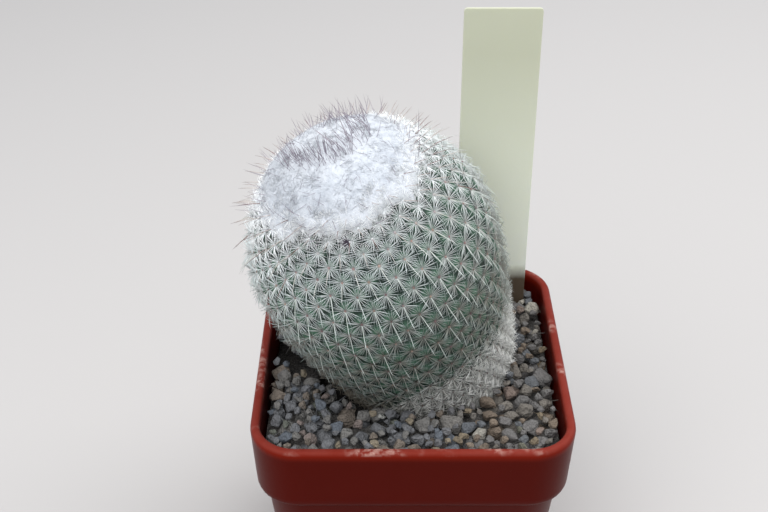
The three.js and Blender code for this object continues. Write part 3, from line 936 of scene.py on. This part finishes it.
draw = np.random.default_rng(19)
bud_place, bud_out, bud_climb = stem_surface(BUD_V, BUD_ANGLE, TUBERCLE_TOP - 0.2)
bud_side = np.cross(bud_climb, bud_out)
bud_mesh = bpy.data.meshes.new("dried_bud")
bud = bmesh.new()
bmesh.ops.create_icosphere(bud, subdivisions=4, radius=1.0)
wrinkle_way = unit(draw.normal(size=(24, 3)))
for point in bud.verts:
    spot = np.array(point.co)
    wrinkle = 1 - 0.3 * smooth_step(np.abs(wrinkle_way @ spot), 0.0, 0.16).min()
    wide, tall, deep = spot * wrinkle * BUD_SIZE
    point.co = MM * (bud_place + wide * bud_side + tall * bud_climb + deep * bud_out)
bmesh.ops.recalc_face_normals(bud, faces=bud.faces[:])
bud.to_mesh(bud_mesh)
bud.free()
bud_mesh.shade_smooth()
dried_bud = place_in_scene("dried_bud", bud_mesh)
# Papery dead tissue: purple-black and dull.
dead_tissue, tree, shader = new_finish("dry_papery_bud", Roughness=0.8)
shader.inputs["Base Color"].default_value = linear("#352b38")
dried_bud.data.materials.append(dead_tissue)
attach(dried_bud, "root")


# Top dressing: angular crushed grit of 2 to 4 mm, poured loose over the mix and pressed flat by
# hand. Grey lava with some brown, blue-grey and pink stones, and a few tan and white ones.
STONE_RADIUS = (1.5, 2.5)
STONE_TRIES = 8000
CRUMB_RADIUS = (0.8, 1.2)
CRUMB_TRIES = 5000
STONE_FLOOR = 44.2
STONE_CEILING = 48.3
STONE_KINDS = 14
# Shares of the radii within which stones touch, and of the rise on top that a stone settles to.
STONE_TOUCH = 0.74
STONE_SETTLE = 0.85
# The pot's hollow where the stones lie: half width, and the centre and radius of its corners.
HOLLOW_HALF = 25.5
HOLLOW_CORNER_AT = 19.0
HOLLOW_CORNER = 6.35
STONE_TINTS = [
    ("#6f7073", 0.42),
    ("#787673", 0.24),
    ("#7b7167", 0.12),
    ("#656b73", 0.1),
    ("#80746f", 0.04),
    ("#6c6f66", 0.03),
    ("#857b6a", 0.04),
    ("#a8a8a3", 0.01),
]

draw = np.random.default_rng(31)
stone_kinds = bpy.data.collections.new("stone_kinds")
for kind in range(STONE_KINDS):
    rough = unit(draw.normal(size=(17, 3))) * draw.uniform(0.78, 1.08, (17, 1))
    rough *= draw.uniform((0.85, 0.7, 0.6), (1.15, 1.0, 0.85))
    stone = bmesh.new()
    for corner in rough:
        stone.verts.new(corner)
    hull = bmesh.ops.convex_hull(stone, input=stone.verts)
    inside = [e for e in hull["geom_interior"] if isinstance(e, bmesh.types.BMVert)]
    bmesh.ops.delete(stone, geom=inside, context="VERTS")
    bmesh.ops.bevel(stone, geom=stone.edges[:], offset=0.07, segments=1, affect="EDGES")
    bmesh.ops.recalc_face_normals(stone, faces=stone.faces[:])
    stone_mesh = bpy.data.meshes.new(f"stone_{kind}")
    stone.to_mesh(stone_mesh)
    stone.free()
    stone_kinds.objects.link(bpy.data.objects.new(f"stone_{kind}", stone_mesh))


def across_lean(x, y):
    """How far a place lies across the oblique band of the bed that the stem overhangs."""
    return x + 1.13 * y


around, rising = np.meshgrid(np.linspace(0, 2 * math.pi, 120), np.linspace(0, 0.25, 40))
stem_near, stem_near_out, _ = (a.reshape(-1, 3) for a in stem_surface(rising, around, -0.3))
stones = []
for tried in range(STONE_TRIES + CRUMB_TRIES):
    x, y = draw.uniform(-25.0, 25.0, 2)
    radius = draw.uniform(*(CRUMB_RADIUS if tried > STONE_TRIES else STONE_RADIUS))
    corner_in = np.hypot(*(np.maximum(np.abs([x, y]) - HOLLOW_CORNER_AT, 0)))
    past_wall = max(abs(x), abs(y)) > HOLLOW_HALF - 0.8 * radius
    if past_wall or corner_in > HOLLOW_CORNER - 0.75 * radius:
        continue
    z = STONE_FLOOR
    if stones:
        there = np.array(stones)
        apart = np.hypot(there[:, 0] - x, there[:, 1] - y)
        touch = STONE_TOUCH * (there[:, 3] + radius)
        under = apart < touch
        if under.any():
            climb = np.sqrt(touch[under] ** 2 - apart[under] ** 2) * STONE_SETTLE
            z = max(z, (there[under, 2] + climb).max())
    if z > STONE_CEILING - 0.62 * radius:
        continue
    gap = stem_near - (x, y, z)
    close = np.linalg.norm(gap, axis=1).argmin()
    outside = -(gap[close] @ stem_near_out[close])
    beside_label = (
        abs(x - LABEL_TOP[0]) < 7.0 + 0.6 * radius and abs(y - label_at(z)) < 0.3 + 0.7 * radius
    )
    across = across_lean(x, y)
    overhung = across + 0.9 * radius > -22.2 and across - 0.9 * radius < -17.5 and x < -6
    if outside < 0.7 * radius or beside_label or overhung:
        continue
    stones.append((x, y, z, radius))
stones = np.array(stones)
count = len(stones)

stone_tree, given, marks, result = new_growth(
    "poured_stones",
    {"Kinds": "Collection"},
    {"kind": "INT", "turn": "FLOAT_VECTOR", "size": "FLOAT_VECTOR"},
)
kinds = add_node(
    stone_tree, "GeometryNodeCollectionInfo", {"Collection": given["Kinds"], "Separate Children": True}
)
poured = add_node(
    stone_tree,
    "GeometryNodeInstanceOnPoints",
    {
        "Points": given["Geometry"],
        "Instance": kinds.outputs[0],
        "Pick Instance": True,
        "Instance Index": marks["kind"],
        "Rotation": marks["turn"],
        "Scale": marks["size"],
    },
)
finish_growth(stone_tree, poured.outputs[0], given, result)

# Crushed lava: matt and porous, each stone in its own tint with lighter and darker flecks.
lava, tree, shader = new_finish("crushed_lava_grit", Roughness=0.93)
place = add_node(tree, "ShaderNodeTexCoord").outputs["Object"]
tint = add_node(tree, "ShaderNodeAttribute", attribute_name="tint").outputs["Color"]
flecks = add_node(
    tree, "ShaderNodeTexNoise", {"Vector": place, "Scale": 1500.0, "Detail": 4.0, "Roughness": 0.7}
)
fleck_gain = add_node(tree, "ShaderNodeMapRange", {0: flecks.outputs[0], 1: 0.3, 2: 0.7, 3: 0.75, 4: 1.25})
flecked = add_node(
    tree, "ShaderNodeVectorMath", {0: tint, "Scale": fleck_gain.outputs[0]}, operation="SCALE"
)
tree.links.new(flecked.outputs[0], shader.inputs["Base Color"])
pits = add_node(tree, "ShaderNodeTexVoronoi", {"Vector": place, "Scale": 2200.0})
pitted = add_node(
    tree, "ShaderNodeMath", {0: flecks.outputs[0], 1: pits.outputs["Distance"]}, operation="ADD"
)
pit_bump = add_node(
    tree, "ShaderNodeBump", {"Height": pitted.outputs[0], "Strength": 0.9, "Distance": 0.00035}
)
tree.links.new(pit_bump.outputs[0], shader.inputs["Normal"])

tint_of = draw.choice(len(STONE_TINTS), count, p=[share for _, share in STONE_TINTS])
stone_tint = np.array([linear(hex_colour) for hex_colour, _ in STONE_TINTS])[tint_of]
stone_tint[:, :3] *= draw.uniform(0.76, 0.97, count)[:, None]
stone_tint[:, :3] *= 1 + smooth_step(stones[:, :1], 2.0, 14.0) * (-0.1, -0.16, -0.23)
dressing = grown(
    "gravel_stones",
    marked_points(
        "stone_points",
        stones[:, :3],
        kind=draw.integers(0, STONE_KINDS, count),
        turn=draw.uniform(0, 2 * math.pi, (count, 3)) * (0.12, 0.12, 1.0),
        size=stones[:, 3:] * (1.0, 1.0, 1.0) * MM,
        tint=np.clip(stone_tint, 0, 1),
    ),
    stone_tree,
    lava,
    Kinds=stone_kinds,
)
for stone in list(stone_kinds.objects):
    bpy.data.objects.remove(stone)
bpy.data.collections.remove(stone_kinds)
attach(dressing, "root")

# Fines: the grit's own dust and crumbs, which settle under the stones as a bed round the stem.
BED_FOOT = [(23.3, 5.3, 36.2), (23.5, 5.4, 36.8), (25.0, 5.6, 39.0)]
BED_HALF = 25.25
BED_CORNER = 6.0
BED_TOP = 44.8
BED_HOLE = 15.9
OVERHUNG_DEPTH = 4.5


def under_overhang(x, y):
    """How far a place lies in the hollow that the leaning stem overhangs, from 0 to 1. The bed is lowered
    there, and painted near black as painted shade.
    """
    return smooth_step(across_lean(x, y), -23.6, -21.0) * (1 - smooth_step(x, -12.0, -4.0))


bed_turn = np.concatenate([np.linspace(q, q + 1, 11) for q in range(4)]) * math.pi / 2
bed_circle = BED_HOLE * np.stack([np.cos(bed_turn), np.sin(bed_turn), 0 * bed_turn], axis=1)
inner = AXIS[0] * (1, 1, 0) + (-0.6, -0.3, 0) + bed_circle
outer = square_ring(BED_HALF, BED_CORNER, 0.0)
bed_rings = [square_ring(*ring_size) for ring_size in BED_FOOT]
for share in np.linspace(0, 1, 18):
    ring = outer + (inner - outer) * share
    ring[:, 2] = BED_TOP + 0.3 * np.sin(1.3 * ring[:, 0] + 0.7) * np.sin(1.7 * ring[:, 1])
    ring[:, 2] -= OVERHUNG_DEPTH * under_overhang(ring[:, 0], ring[:, 1])
    bed_rings.append(ring)
bed_rings.append(bed_rings[-1] * (1, 1, 0) + (0, 0, 36.2))
bed_mesh = closed_skin("gravel_fines", bed_rings, rejoins=True)
bed_places = np.concatenate(bed_rings)
add_marks(bed_mesh, along=under_overhang(bed_places[:, 0], bed_places[:, 1]))
fines = place_in_scene("gravel_fines", bed_mesh)
# Fine grit: dust grey, and painted near black in the hollow under the stem's overhang as painted shade.
fine_grit, tree, shader = new_finish("lava_fines", Roughness=0.96)
place = add_node(tree, "ShaderNodeTexCoord").outputs["Object"]
grit_grain = add_node(tree, "ShaderNodeTexVoronoi", {"Vector": place, "Scale": 1600.0})
grit_ramp = add_node(tree, "ShaderNodeValToRGB", {0: grit_grain.outputs["Color"]})
grit_ramp.color_ramp.elements[0].color = linear("#3c3a38")
grit_ramp.color_ramp.elements[1].color = linear("#666360")
# Painted shade: the fines turn near black in the hollow under the overhang.
hollow_shade = add_node(tree, "ShaderNodeAttribute", attribute_name="along").outputs["Fac"]
hollow_shaded = add_node(
    tree, "ShaderNodeMix", {0: hollow_shade, 6: grit_ramp.outputs[0], 7: linear("#130f0c")}, data_type="RGBA"
)
tree.links.new(hollow_shaded.outputs[2], shader.inputs["Base Color"])
grit_bump = add_node(
    tree, "ShaderNodeBump", {"Height": grit_grain.outputs["Distance"], "Strength": 1.0, "Distance": 0.0005}
)
tree.links.new(grit_bump.outputs[0], shader.inputs["Normal"])
fines.data.materials.append(fine_grit)
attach(fines, "root")
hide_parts("gravel")


# Areole felt: the small pad of short wool that each cluster of spines grows from. It is white near
# the crown, cream and pink lower down, and worn to a brown scab at the foot.
felt_tree, given, marks, result = new_growth(
    "felt_pads",
    {"Flatness": "Float"},
    {"aim": "FLOAT_VECTOR", "back": "FLOAT_VECTOR", "size": "FLOAT"},
)
pad = add_node(felt_tree, "GeometryNodeMeshIcoSphere", {"Radius": 1.0, "Subdivisions": 2})
soft_pad = add_node(felt_tree, "GeometryNodeSetShadeSmooth", {0: pad.outputs[0]})
facing = add_node(
    felt_tree,
    "FunctionNodeAxesToRotation",
    {0: marks["aim"], 1: marks["back"]},
    primary_axis="Z",
    secondary_axis="X",
)
flattened = add_node(felt_tree, "ShaderNodeCombineXYZ", {0: 1.0, 1: 1.0, 2: given["Flatness"]})
pad_size = add_node(
    felt_tree,
    "ShaderNodeVectorMath",
    {0: flattened.outputs[0], "Scale": marks["size"]},
    operation="SCALE",
)
seated = add_node(
    felt_tree,
    "GeometryNodeInstanceOnPoints",
    {
        "Points": given["Geometry"],
        "Instance": soft_pad.outputs[0],
        "Rotation": facing.outputs[0],
        "Scale": pad_size.outputs[0],
    },
)
finish_growth(felt_tree, seated.outputs[0], given, result)

# Short dense wool: matt, with a fine fibre grain.
felt, tree, shader = new_finish("areole_felt", Roughness=1.0, Sheen_Weight=0.3)
place = add_node(tree, "ShaderNodeTexCoord").outputs["Object"]
tint = add_node(tree, "ShaderNodeAttribute", attribute_name="tint").outputs["Color"]
tree.links.new(tint, shader.inputs["Base Color"])
fibres = add_node(tree, "ShaderNodeTexNoise", {"Vector": place, "Scale": 9000.0, "Detail": 3.0})
fibre_bump = add_node(
    tree, "ShaderNodeBump", {"Height": fibres.outputs[0], "Strength": 0.8, "Distance": 0.0002}
)
tree.links.new(fibre_bump.outputs[0], shader.inputs["Normal"])

draw = np.random.default_rng(41)
felt_tint = blend_tints(draw.uniform(0, 1, len(starred)), "#8f7274", "#b3a08f")
felt_gain = draw.uniform(0.6, 1.15, len(starred)) * (0.6 + 0.4 * upper_stem_share[starred])
felt_tint[:, :3] *= felt_gain[:, None]
felt_tint = drawn_to(felt_tint, newest[starred], "#dfe3e5")
pads = grown(
    "areole_pads",
    marked_points(
        "pad_points",
        areole_place[starred] + 0.1 * areole_out[starred],
        aim=areole_out[starred],
        back=areole_climb[starred],
        size=draw.uniform(0.15, 0.26, len(starred)) * MM,
        tint=np.clip(felt_tint, 0, 1),
    ),
    felt_tree,
    felt,
    Flatness=0.6,
)
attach(pads, "root")


# Crown wool: the young areoles at the growing point carry so much long white wool that it felts
# into one soft cap, lumpy where each areole pushes it up and ragged at its lower edge.
CAP_COLUMNS = 260
CAP_ROWS = 96
CAP_LIFT = -0.25

cap_turn = np.linspace(0, 2 * math.pi, CAP_COLUMNS, endpoint=False)
ragged = np.sin(21 * cap_turn) + np.sin(34 * cap_turn + 1) + np.sin(55 * cap_turn + 2)
cap_edge = wool_edge(cap_turn) - 0.02 + 0.0035 * ragged
cap_share = np.linspace(0, 0.99, CAP_ROWS)[:, None]
cap_v = cap_edge + (1 - cap_edge) * cap_share
cap_swell = smooth_step(cap_share, -0.15, 0.12)
cap_lift = DOME_UNDER_WOOL - 0.1 + (CAP_LIFT - DOME_UNDER_WOOL + 0.1) * cap_swell
cap_outside, cap_out, _ = stem_surface(cap_v, cap_turn, cap_lift)
under_v = cap_edge + (1 - cap_edge) * np.linspace(0.985, 0.02, 12)[:, None]
cap_inside, cap_in, _ = stem_surface(under_v, cap_turn, DOME_UNDER_WOOL - 0.35)
cap_mesh = closed_skin("wool_blank", [*cap_inside, *cap_outside])
puff_way = np.concatenate([cap_in.reshape(-1, 3), cap_out.reshape(-1, 3), [(0, 0, 1)] * 2])


def over_cap(under, outside, ends):
    """Values for the cap's points: one number inside, others outside and one for each end."""
    return np.concatenate([np.full(under_v.size, under), (outside + 0 * cap_turn).ravel(), ends])


# The wool is palest round the growing point, and palest at its edge as painted light against the
# shade under its rolled lower edge.
pale_and_painted_light = 1 - smooth_step(cap_share, 0.05, 0.25) + 0.7 * smooth_step(cap_share, 0.45, 0.7)
puff = over_cap(0.0, smooth_step(cap_share, 0, 0.1), [0, 1])
add_marks(cap_mesh, out=puff_way, relief=puff, along=over_cap(1.0, pale_and_painted_light, [1, 0.7]))

wool_tree, given, marks, result = new_growth(
    "felted_wool",
    {"Lump Size": "Float", "Lump Height": "Float", "Tuft Size": "Float", "Tuft Height": "Float"},
    {"relief": "FLOAT", "out": "FLOAT_VECTOR"},
)
wool_place = add_node(wool_tree, "GeometryNodeInputPosition").outputs[0]
heights = []
for lump in ("Lump", "Tuft"):
    size, height = given[lump + " Size"], given[lump + " Height"]
    scale = add_node(wool_tree, "ShaderNodeMath", {0: 1.0, 1: size}, operation="DIVIDE")
    cloud = add_node(
        wool_tree, "ShaderNodeTexNoise", {"Vector": wool_place, "Scale": scale.outputs[0], "Detail": 2.0}
    )
    centred = add_node(wool_tree, "ShaderNodeMath", {0: cloud.outputs[0], 1: 0.5}, operation="SUBTRACT")
    risen = add_node(wool_tree, "ShaderNodeMath", {0: centred.outputs[0], 1: height}, operation="MULTIPLY")
    heights.append(risen.outputs[0])
rise = add_node(wool_tree, "ShaderNodeMath", {0: heights[0], 1: heights[1]}, operation="ADD")
eased = add_node(
    wool_tree, "ShaderNodeMath", {0: rise.outputs[0], 1: marks["relief"]}, operation="MULTIPLY"
)
swell = add_node(
    wool_tree,
    "ShaderNodeVectorMath",
    {0: marks["out"], "Scale": eased.outputs[0]},
    operation="SCALE",
)
puffed = add_node(
    wool_tree, "GeometryNodeSetPosition", {0: given["Geometry"], "Offset": swell.outputs[0]}
)
finish_growth(wool_tree, puffed.outputs[0], given, result)

# Plant wool: bluish white, matt and very soft, grey where it is matted.
plant_wool, tree, shader = new_finish("matted_plant_wool", Roughness=1.0, Sheen_Weight=0.4)
place = add_node(tree, "ShaderNodeTexCoord").outputs["Object"]
mats = add_node(
    tree, "ShaderNodeTexNoise", {"Vector": place, "Scale": 700.0, "Detail": 5.0, "Roughness": 0.65}
)
mat_ramp = add_node(tree, "ShaderNodeValToRGB", {0: mats.outputs[0]})
mat_ramp.color_ramp.elements[0].position = 0.3
mat_ramp.color_ramp.elements[0].color = linear("#a8aeb7")
mat_ramp.color_ramp.elements[1].position = 0.6
mat_ramp.color_ramp.elements[1].color = linear("#c6cbd2")
# Painted light at the lower edge: the wool there turns paler, though it faces down into shade.
pale_and_lit_share = add_node(tree, "ShaderNodeAttribute", attribute_name="along").outputs["Fac"]
pale_and_lit = add_node(
    tree, "ShaderNodeMix", {0: pale_and_lit_share, 6: mat_ramp.outputs[0], 7: linear("#d0d4da")}, data_type="RGBA"
)
tree.links.new(pale_and_lit.outputs[2], shader.inputs["Base Color"])
strands = add_node(tree, "ShaderNodeTexNoise", {"Vector": place, "Scale": 5000.0, "Detail": 4.0})
strand_bump = add_node(
    tree, "ShaderNodeBump", {"Height": strands.outputs[0], "Strength": 0.7, "Distance": 0.0003}
)
tree.links.new(strand_bump.outputs[0], shader.inputs["Normal"])

cap = grown(
    "wool_cap",
    place_in_scene("wool_blank", cap_mesh),
    wool_tree,
    plant_wool,
    Lump_Size=0.003,
    Lump_Height=0.0011,
    Tuft_Size=0.0008,
    Tuft_Height=0.0003,
)
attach(cap, "root")
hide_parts("crown_wool")

# Loose hairs stand off the felt all over, and a ragged fringe of them hides its lower edge.
CAP_HAIRS = 10500
TUFT_HAIRS = 90
HAIR_TOP = 0.985

# Even by area over the cap, and thick round each of the youngest areoles.
draw = np.random.default_rng(53)
crown_level = np.linspace(WOOL_EDGE, HAIR_TOP, 60)
crown_girth = profile_at(crown_level)[0][:, 1] + 0.4
cap_hair_v = draw.choice(crown_level, CAP_HAIRS, p=crown_girth / crown_girth.sum())
cap_hair_v = cap_hair_v + draw.uniform(-1, 1, CAP_HAIRS) * (HAIR_TOP - WOOL_EDGE) / 118
cap_hair_turn = draw.uniform(0, 2 * math.pi, CAP_HAIRS)
border = areole_v - wool_edge(areole_angle)
tuft_hairs = TUFT_HAIRS * smooth_step(border, -0.05, -0.01) * draw.uniform(0.3, 1.0, len(border))
tuft = np.repeat(np.arange(len(border)), tuft_hairs.astype(int))
hair_v = np.concatenate([cap_hair_v, areole_v[tuft] + draw.normal(0, 0.006, len(tuft))])
hair_turn = np.concatenate([cap_hair_turn, areole_angle[tuft] + draw.normal(0, 0.035, len(tuft))])
hair_depth = 0.4 * (1 - smooth_step(hair_v, WOOL_EDGE - 0.01, WOOL_EDGE + 0.02))
hair_place, hair_out, hair_climb = stem_surface(hair_v, hair_turn, CAP_LIFT - 0.3 - hair_depth)
count = len(hair_v)
hair_aim = tangled(draw, hair_out, hair_climb, (0.3, 1.0))
hair_tint = blend_tints(draw.uniform(0, 1, count), "#c4c8cf", "#dfe2e7")
# Painted light: hairs at the wool's lower edge are whitened against the shade there.
fringe_painted_light = 1 - smooth_step(hair_v, WOOL_EDGE, WOOL_EDGE + 0.04)
hair_tint = drawn_to(hair_tint, fringe_painted_light, "#f8f9fb")
hairs = grown(
    "wool_hairs",
    marked_points(
        "hair_points",
        hair_place,
        aim=hair_aim,
        back=hair_out,
        length=draw.uniform(0.7, 1.7, count) * MM,
        tint=hair_tint,
        tip=hair_tint,
    ),
    spine_tree,
    felt,
    Sides=3,
    Segments=2,
    Slenderness=0.03,
    Waist=1.0,
    Curl=0.45,
)
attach(hairs, "root")


# Crown spines: thin needles that stand out of the wool, grey-brown to purple. They are densest in a
# ring round the growing point, which lies lower behind than in front, and longest on its right.
RING_V = 0.918
RING_TIP = (0.002, 0.03)

draw = np.random.default_rng(61)
groups = []
for count, low, high, centre, spread, lean, sway, length, darkness in [
    (80, RING_V - 0.02, RING_V + 0.02, None, 0.0, (-0.1, 0.4), 0.4, (1.8, 3.6), (0.1, 0.8)),
    (60, RING_V - 0.02, RING_V + 0.025, 0.4, 0.75, (0.1, 1.1), 0.35, (2.8, 5.0), (0.0, 0.7)),
    (105, RING_V - 0.02, RING_V + 0.015, -1.9, 0.8, (-0.1, 0.5), 0.35, (2.2, 3.8), (0.3, 1.0)),
    (120, 0.8, 0.94, None, 0.0, (-1.0, 1.6), 1.6, (1.8, 3.4), (0.6, 1.0)),
    (70, 0.76, 0.83, None, 0.0, (-0.4, 0.4), 0.5, (2.6, 4.8), (0.1, 0.7)),
]:
    turn = draw.uniform(-math.pi, math.pi, count)
    if centre is not None:
        turn = centre + spread * (np.linspace(-1.6, 1.6, count) + draw.uniform(-0.08, 0.08, count))
    in_ring = abs((low + high) / 2 - RING_V) < 0.01
    dip = in_ring * (RING_TIP @ np.array([np.cos(turn), np.sin(turn)]))
    level = draw.uniform(low, high, count) - dip
    limits = (lean, (-sway, sway), length, darkness)
    groups.append([level, turn, *(draw.uniform(*pair, count) for pair in limits)])
crown = [np.concatenate(values) for values in zip(*groups)]
crown_v, crown_turn, crown_lean, crown_sway, crown_length, crown_dark = crown
crown_place, crown_out, crown_climb = stem_surface(crown_v, crown_turn, CAP_LIFT - 0.2)
crown_side = np.cross(crown_climb, crown_out)
crown_aim = unit(
    crown_out + crown_climb * crown_lean[:, None] + crown_side * crown_sway[:, None]
)
crown_spines = grown(
    "crown_spines",
    marked_points(
        "crown_points",
        crown_place,
        aim=crown_aim,
        back=-crown_climb,
        length=crown_length * MM,
        tint=blend_tints(crown_dark, "#b5adb6", "#7f7485"),
        tip=blend_tints(crown_dark, "#86787f", "#493e4b"),
    ),
    spine_tree,
    spine_horn,
    Sides=4,
    Segments=3,
    Slenderness=0.0125,
    Waist=1.0,
    Curl=0.1,
)
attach(crown_spines, "root")


# Label: a strip cut from pale, slightly translucent polypropylene sheet, with a pointed end that is
# pushed into the stones behind the stem. It is blank.
LABEL_WIDTH = 13.7
LABEL_LENGTH = 90.0
LABEL_POINT = 26.0
LABEL_THICKNESS = 0.5
LABEL_CORNER = 0.6
LABEL_TIP = 1.2

half = LABEL_WIDTH / 2
shoulder = LABEL_POINT - LABEL_LENGTH
outline = [
    (half - LABEL_CORNER * (1 - math.cos(turn)), LABEL_CORNER * (math.sin(turn) - 1))
    for turn in np.linspace(0, math.pi / 2, 5)
]
outline += [(-x, y) for x, y in reversed(outline)]
outline += [(-half, shoulder), (-LABEL_TIP, -LABEL_LENGTH)]
outline += [(LABEL_TIP, -LABEL_LENGTH), (half, shoulder)]
strip = bmesh.new()
sheet_up = np.array([0, math.sin(LABEL_LEAN), math.cos(LABEL_LEAN)])
sheet_front = np.array([0, -math.cos(LABEL_LEAN), math.sin(LABEL_LEAN)])
front_face = []
for x, y in outline:
    at = LABEL_TOP + np.array([x, 0, 0]) + y * sheet_up + LABEL_THICKNESS / 2 * sheet_front
    front_face.append(strip.verts.new(at * MM))
face = strip.faces.new(front_face)
pushed = bmesh.ops.extrude_face_region(strip, geom=[face])
moved = [e for e in pushed["geom"] if isinstance(e, bmesh.types.BMVert)]
bmesh.ops.translate(strip, verts=moved, vec=tuple(-LABEL_THICKNESS * sheet_front * MM))
bmesh.ops.recalc_face_normals(strip, faces=strip.faces[:])
strip_mesh = bpy.data.meshes.new("label_blank")
strip.to_mesh(strip_mesh)
strip.free()
label_blank = place_in_scene("label_blank", strip_mesh)
softening = label_blank.modifiers.new("cut_edges", "BEVEL")
softening.width = 0.08 * MM
softening.segments = 2
label = as_plain_piece("plant_label", label_blank)

# Matt polypropylene sheet: yellow-green white, a little translucent, with a stain above the stones.
# It is painted lighter towards its foot as painted light, against the shade that the stem casts.
label_sheet, tree, shader = new_finish(
    "matt_polypropylene_sheet",
    Roughness=0.55,
    IOR=1.49,
    Subsurface_Weight=0.25,
    Subsurface_Radius=(0.001, 0.001, 0.0007),
    Subsurface_Scale=1.0,
)
place = add_node(tree, "ShaderNodeTexCoord").outputs["Object"]
height = add_node(tree, "ShaderNodeSeparateXYZ", {0: place}).outputs["Z"]
smudge = add_node(tree, "ShaderNodeTexNoise", {"Vector": place, "Scale": 160.0, "Detail": 4.0})
smudge_rise = add_node(tree, "ShaderNodeMath", {0: smudge.outputs[0], 1: 0.004}, operation="MULTIPLY")
stain_height = add_node(tree, "ShaderNodeMath", {0: height, 1: smudge_rise.outputs[0]}, operation="SUBTRACT")
stain = add_node(tree, "ShaderNodeMapRange", {0: stain_height.outputs[0], 1: 0.0525, 2: 0.0492})
# Painted light: the sheet's colour is lighter towards its foot, where the stem shades it.
upper_share = add_node(tree, "ShaderNodeMapRange", {0: height, 1: 0.055, 2: 0.098})
clean_and_painted_light = add_node(
    tree,
    "ShaderNodeMix",
    {0: upper_share.outputs[0], 6: linear("#ecf0e3"), 7: linear("#bfc1ac")},
    data_type="RGBA",
)
stained = add_node(
    tree, "ShaderNodeMix", {0: stain.outputs[0], 6: clean_and_painted_light.outputs[2], 7: linear("#5a4c3d")}, data_type="RGBA"
)
tree.links.new(stained.outputs[2], shader.inputs["Base Color"])
scuffs = add_node(tree, "ShaderNodeTexNoise", {"Vector": place, "Scale": 1800.0, "Detail": 2.0})
scuff_bump = add_node(
    tree, "ShaderNodeBump", {"Height": scuffs.outputs[0], "Strength": 0.15, "Distance": 0.0001}
)
tree.links.new(scuff_bump.outputs[0], shader.inputs["Normal"])
label.data.materials.append(label_sheet)
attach(label, "root")
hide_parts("label")
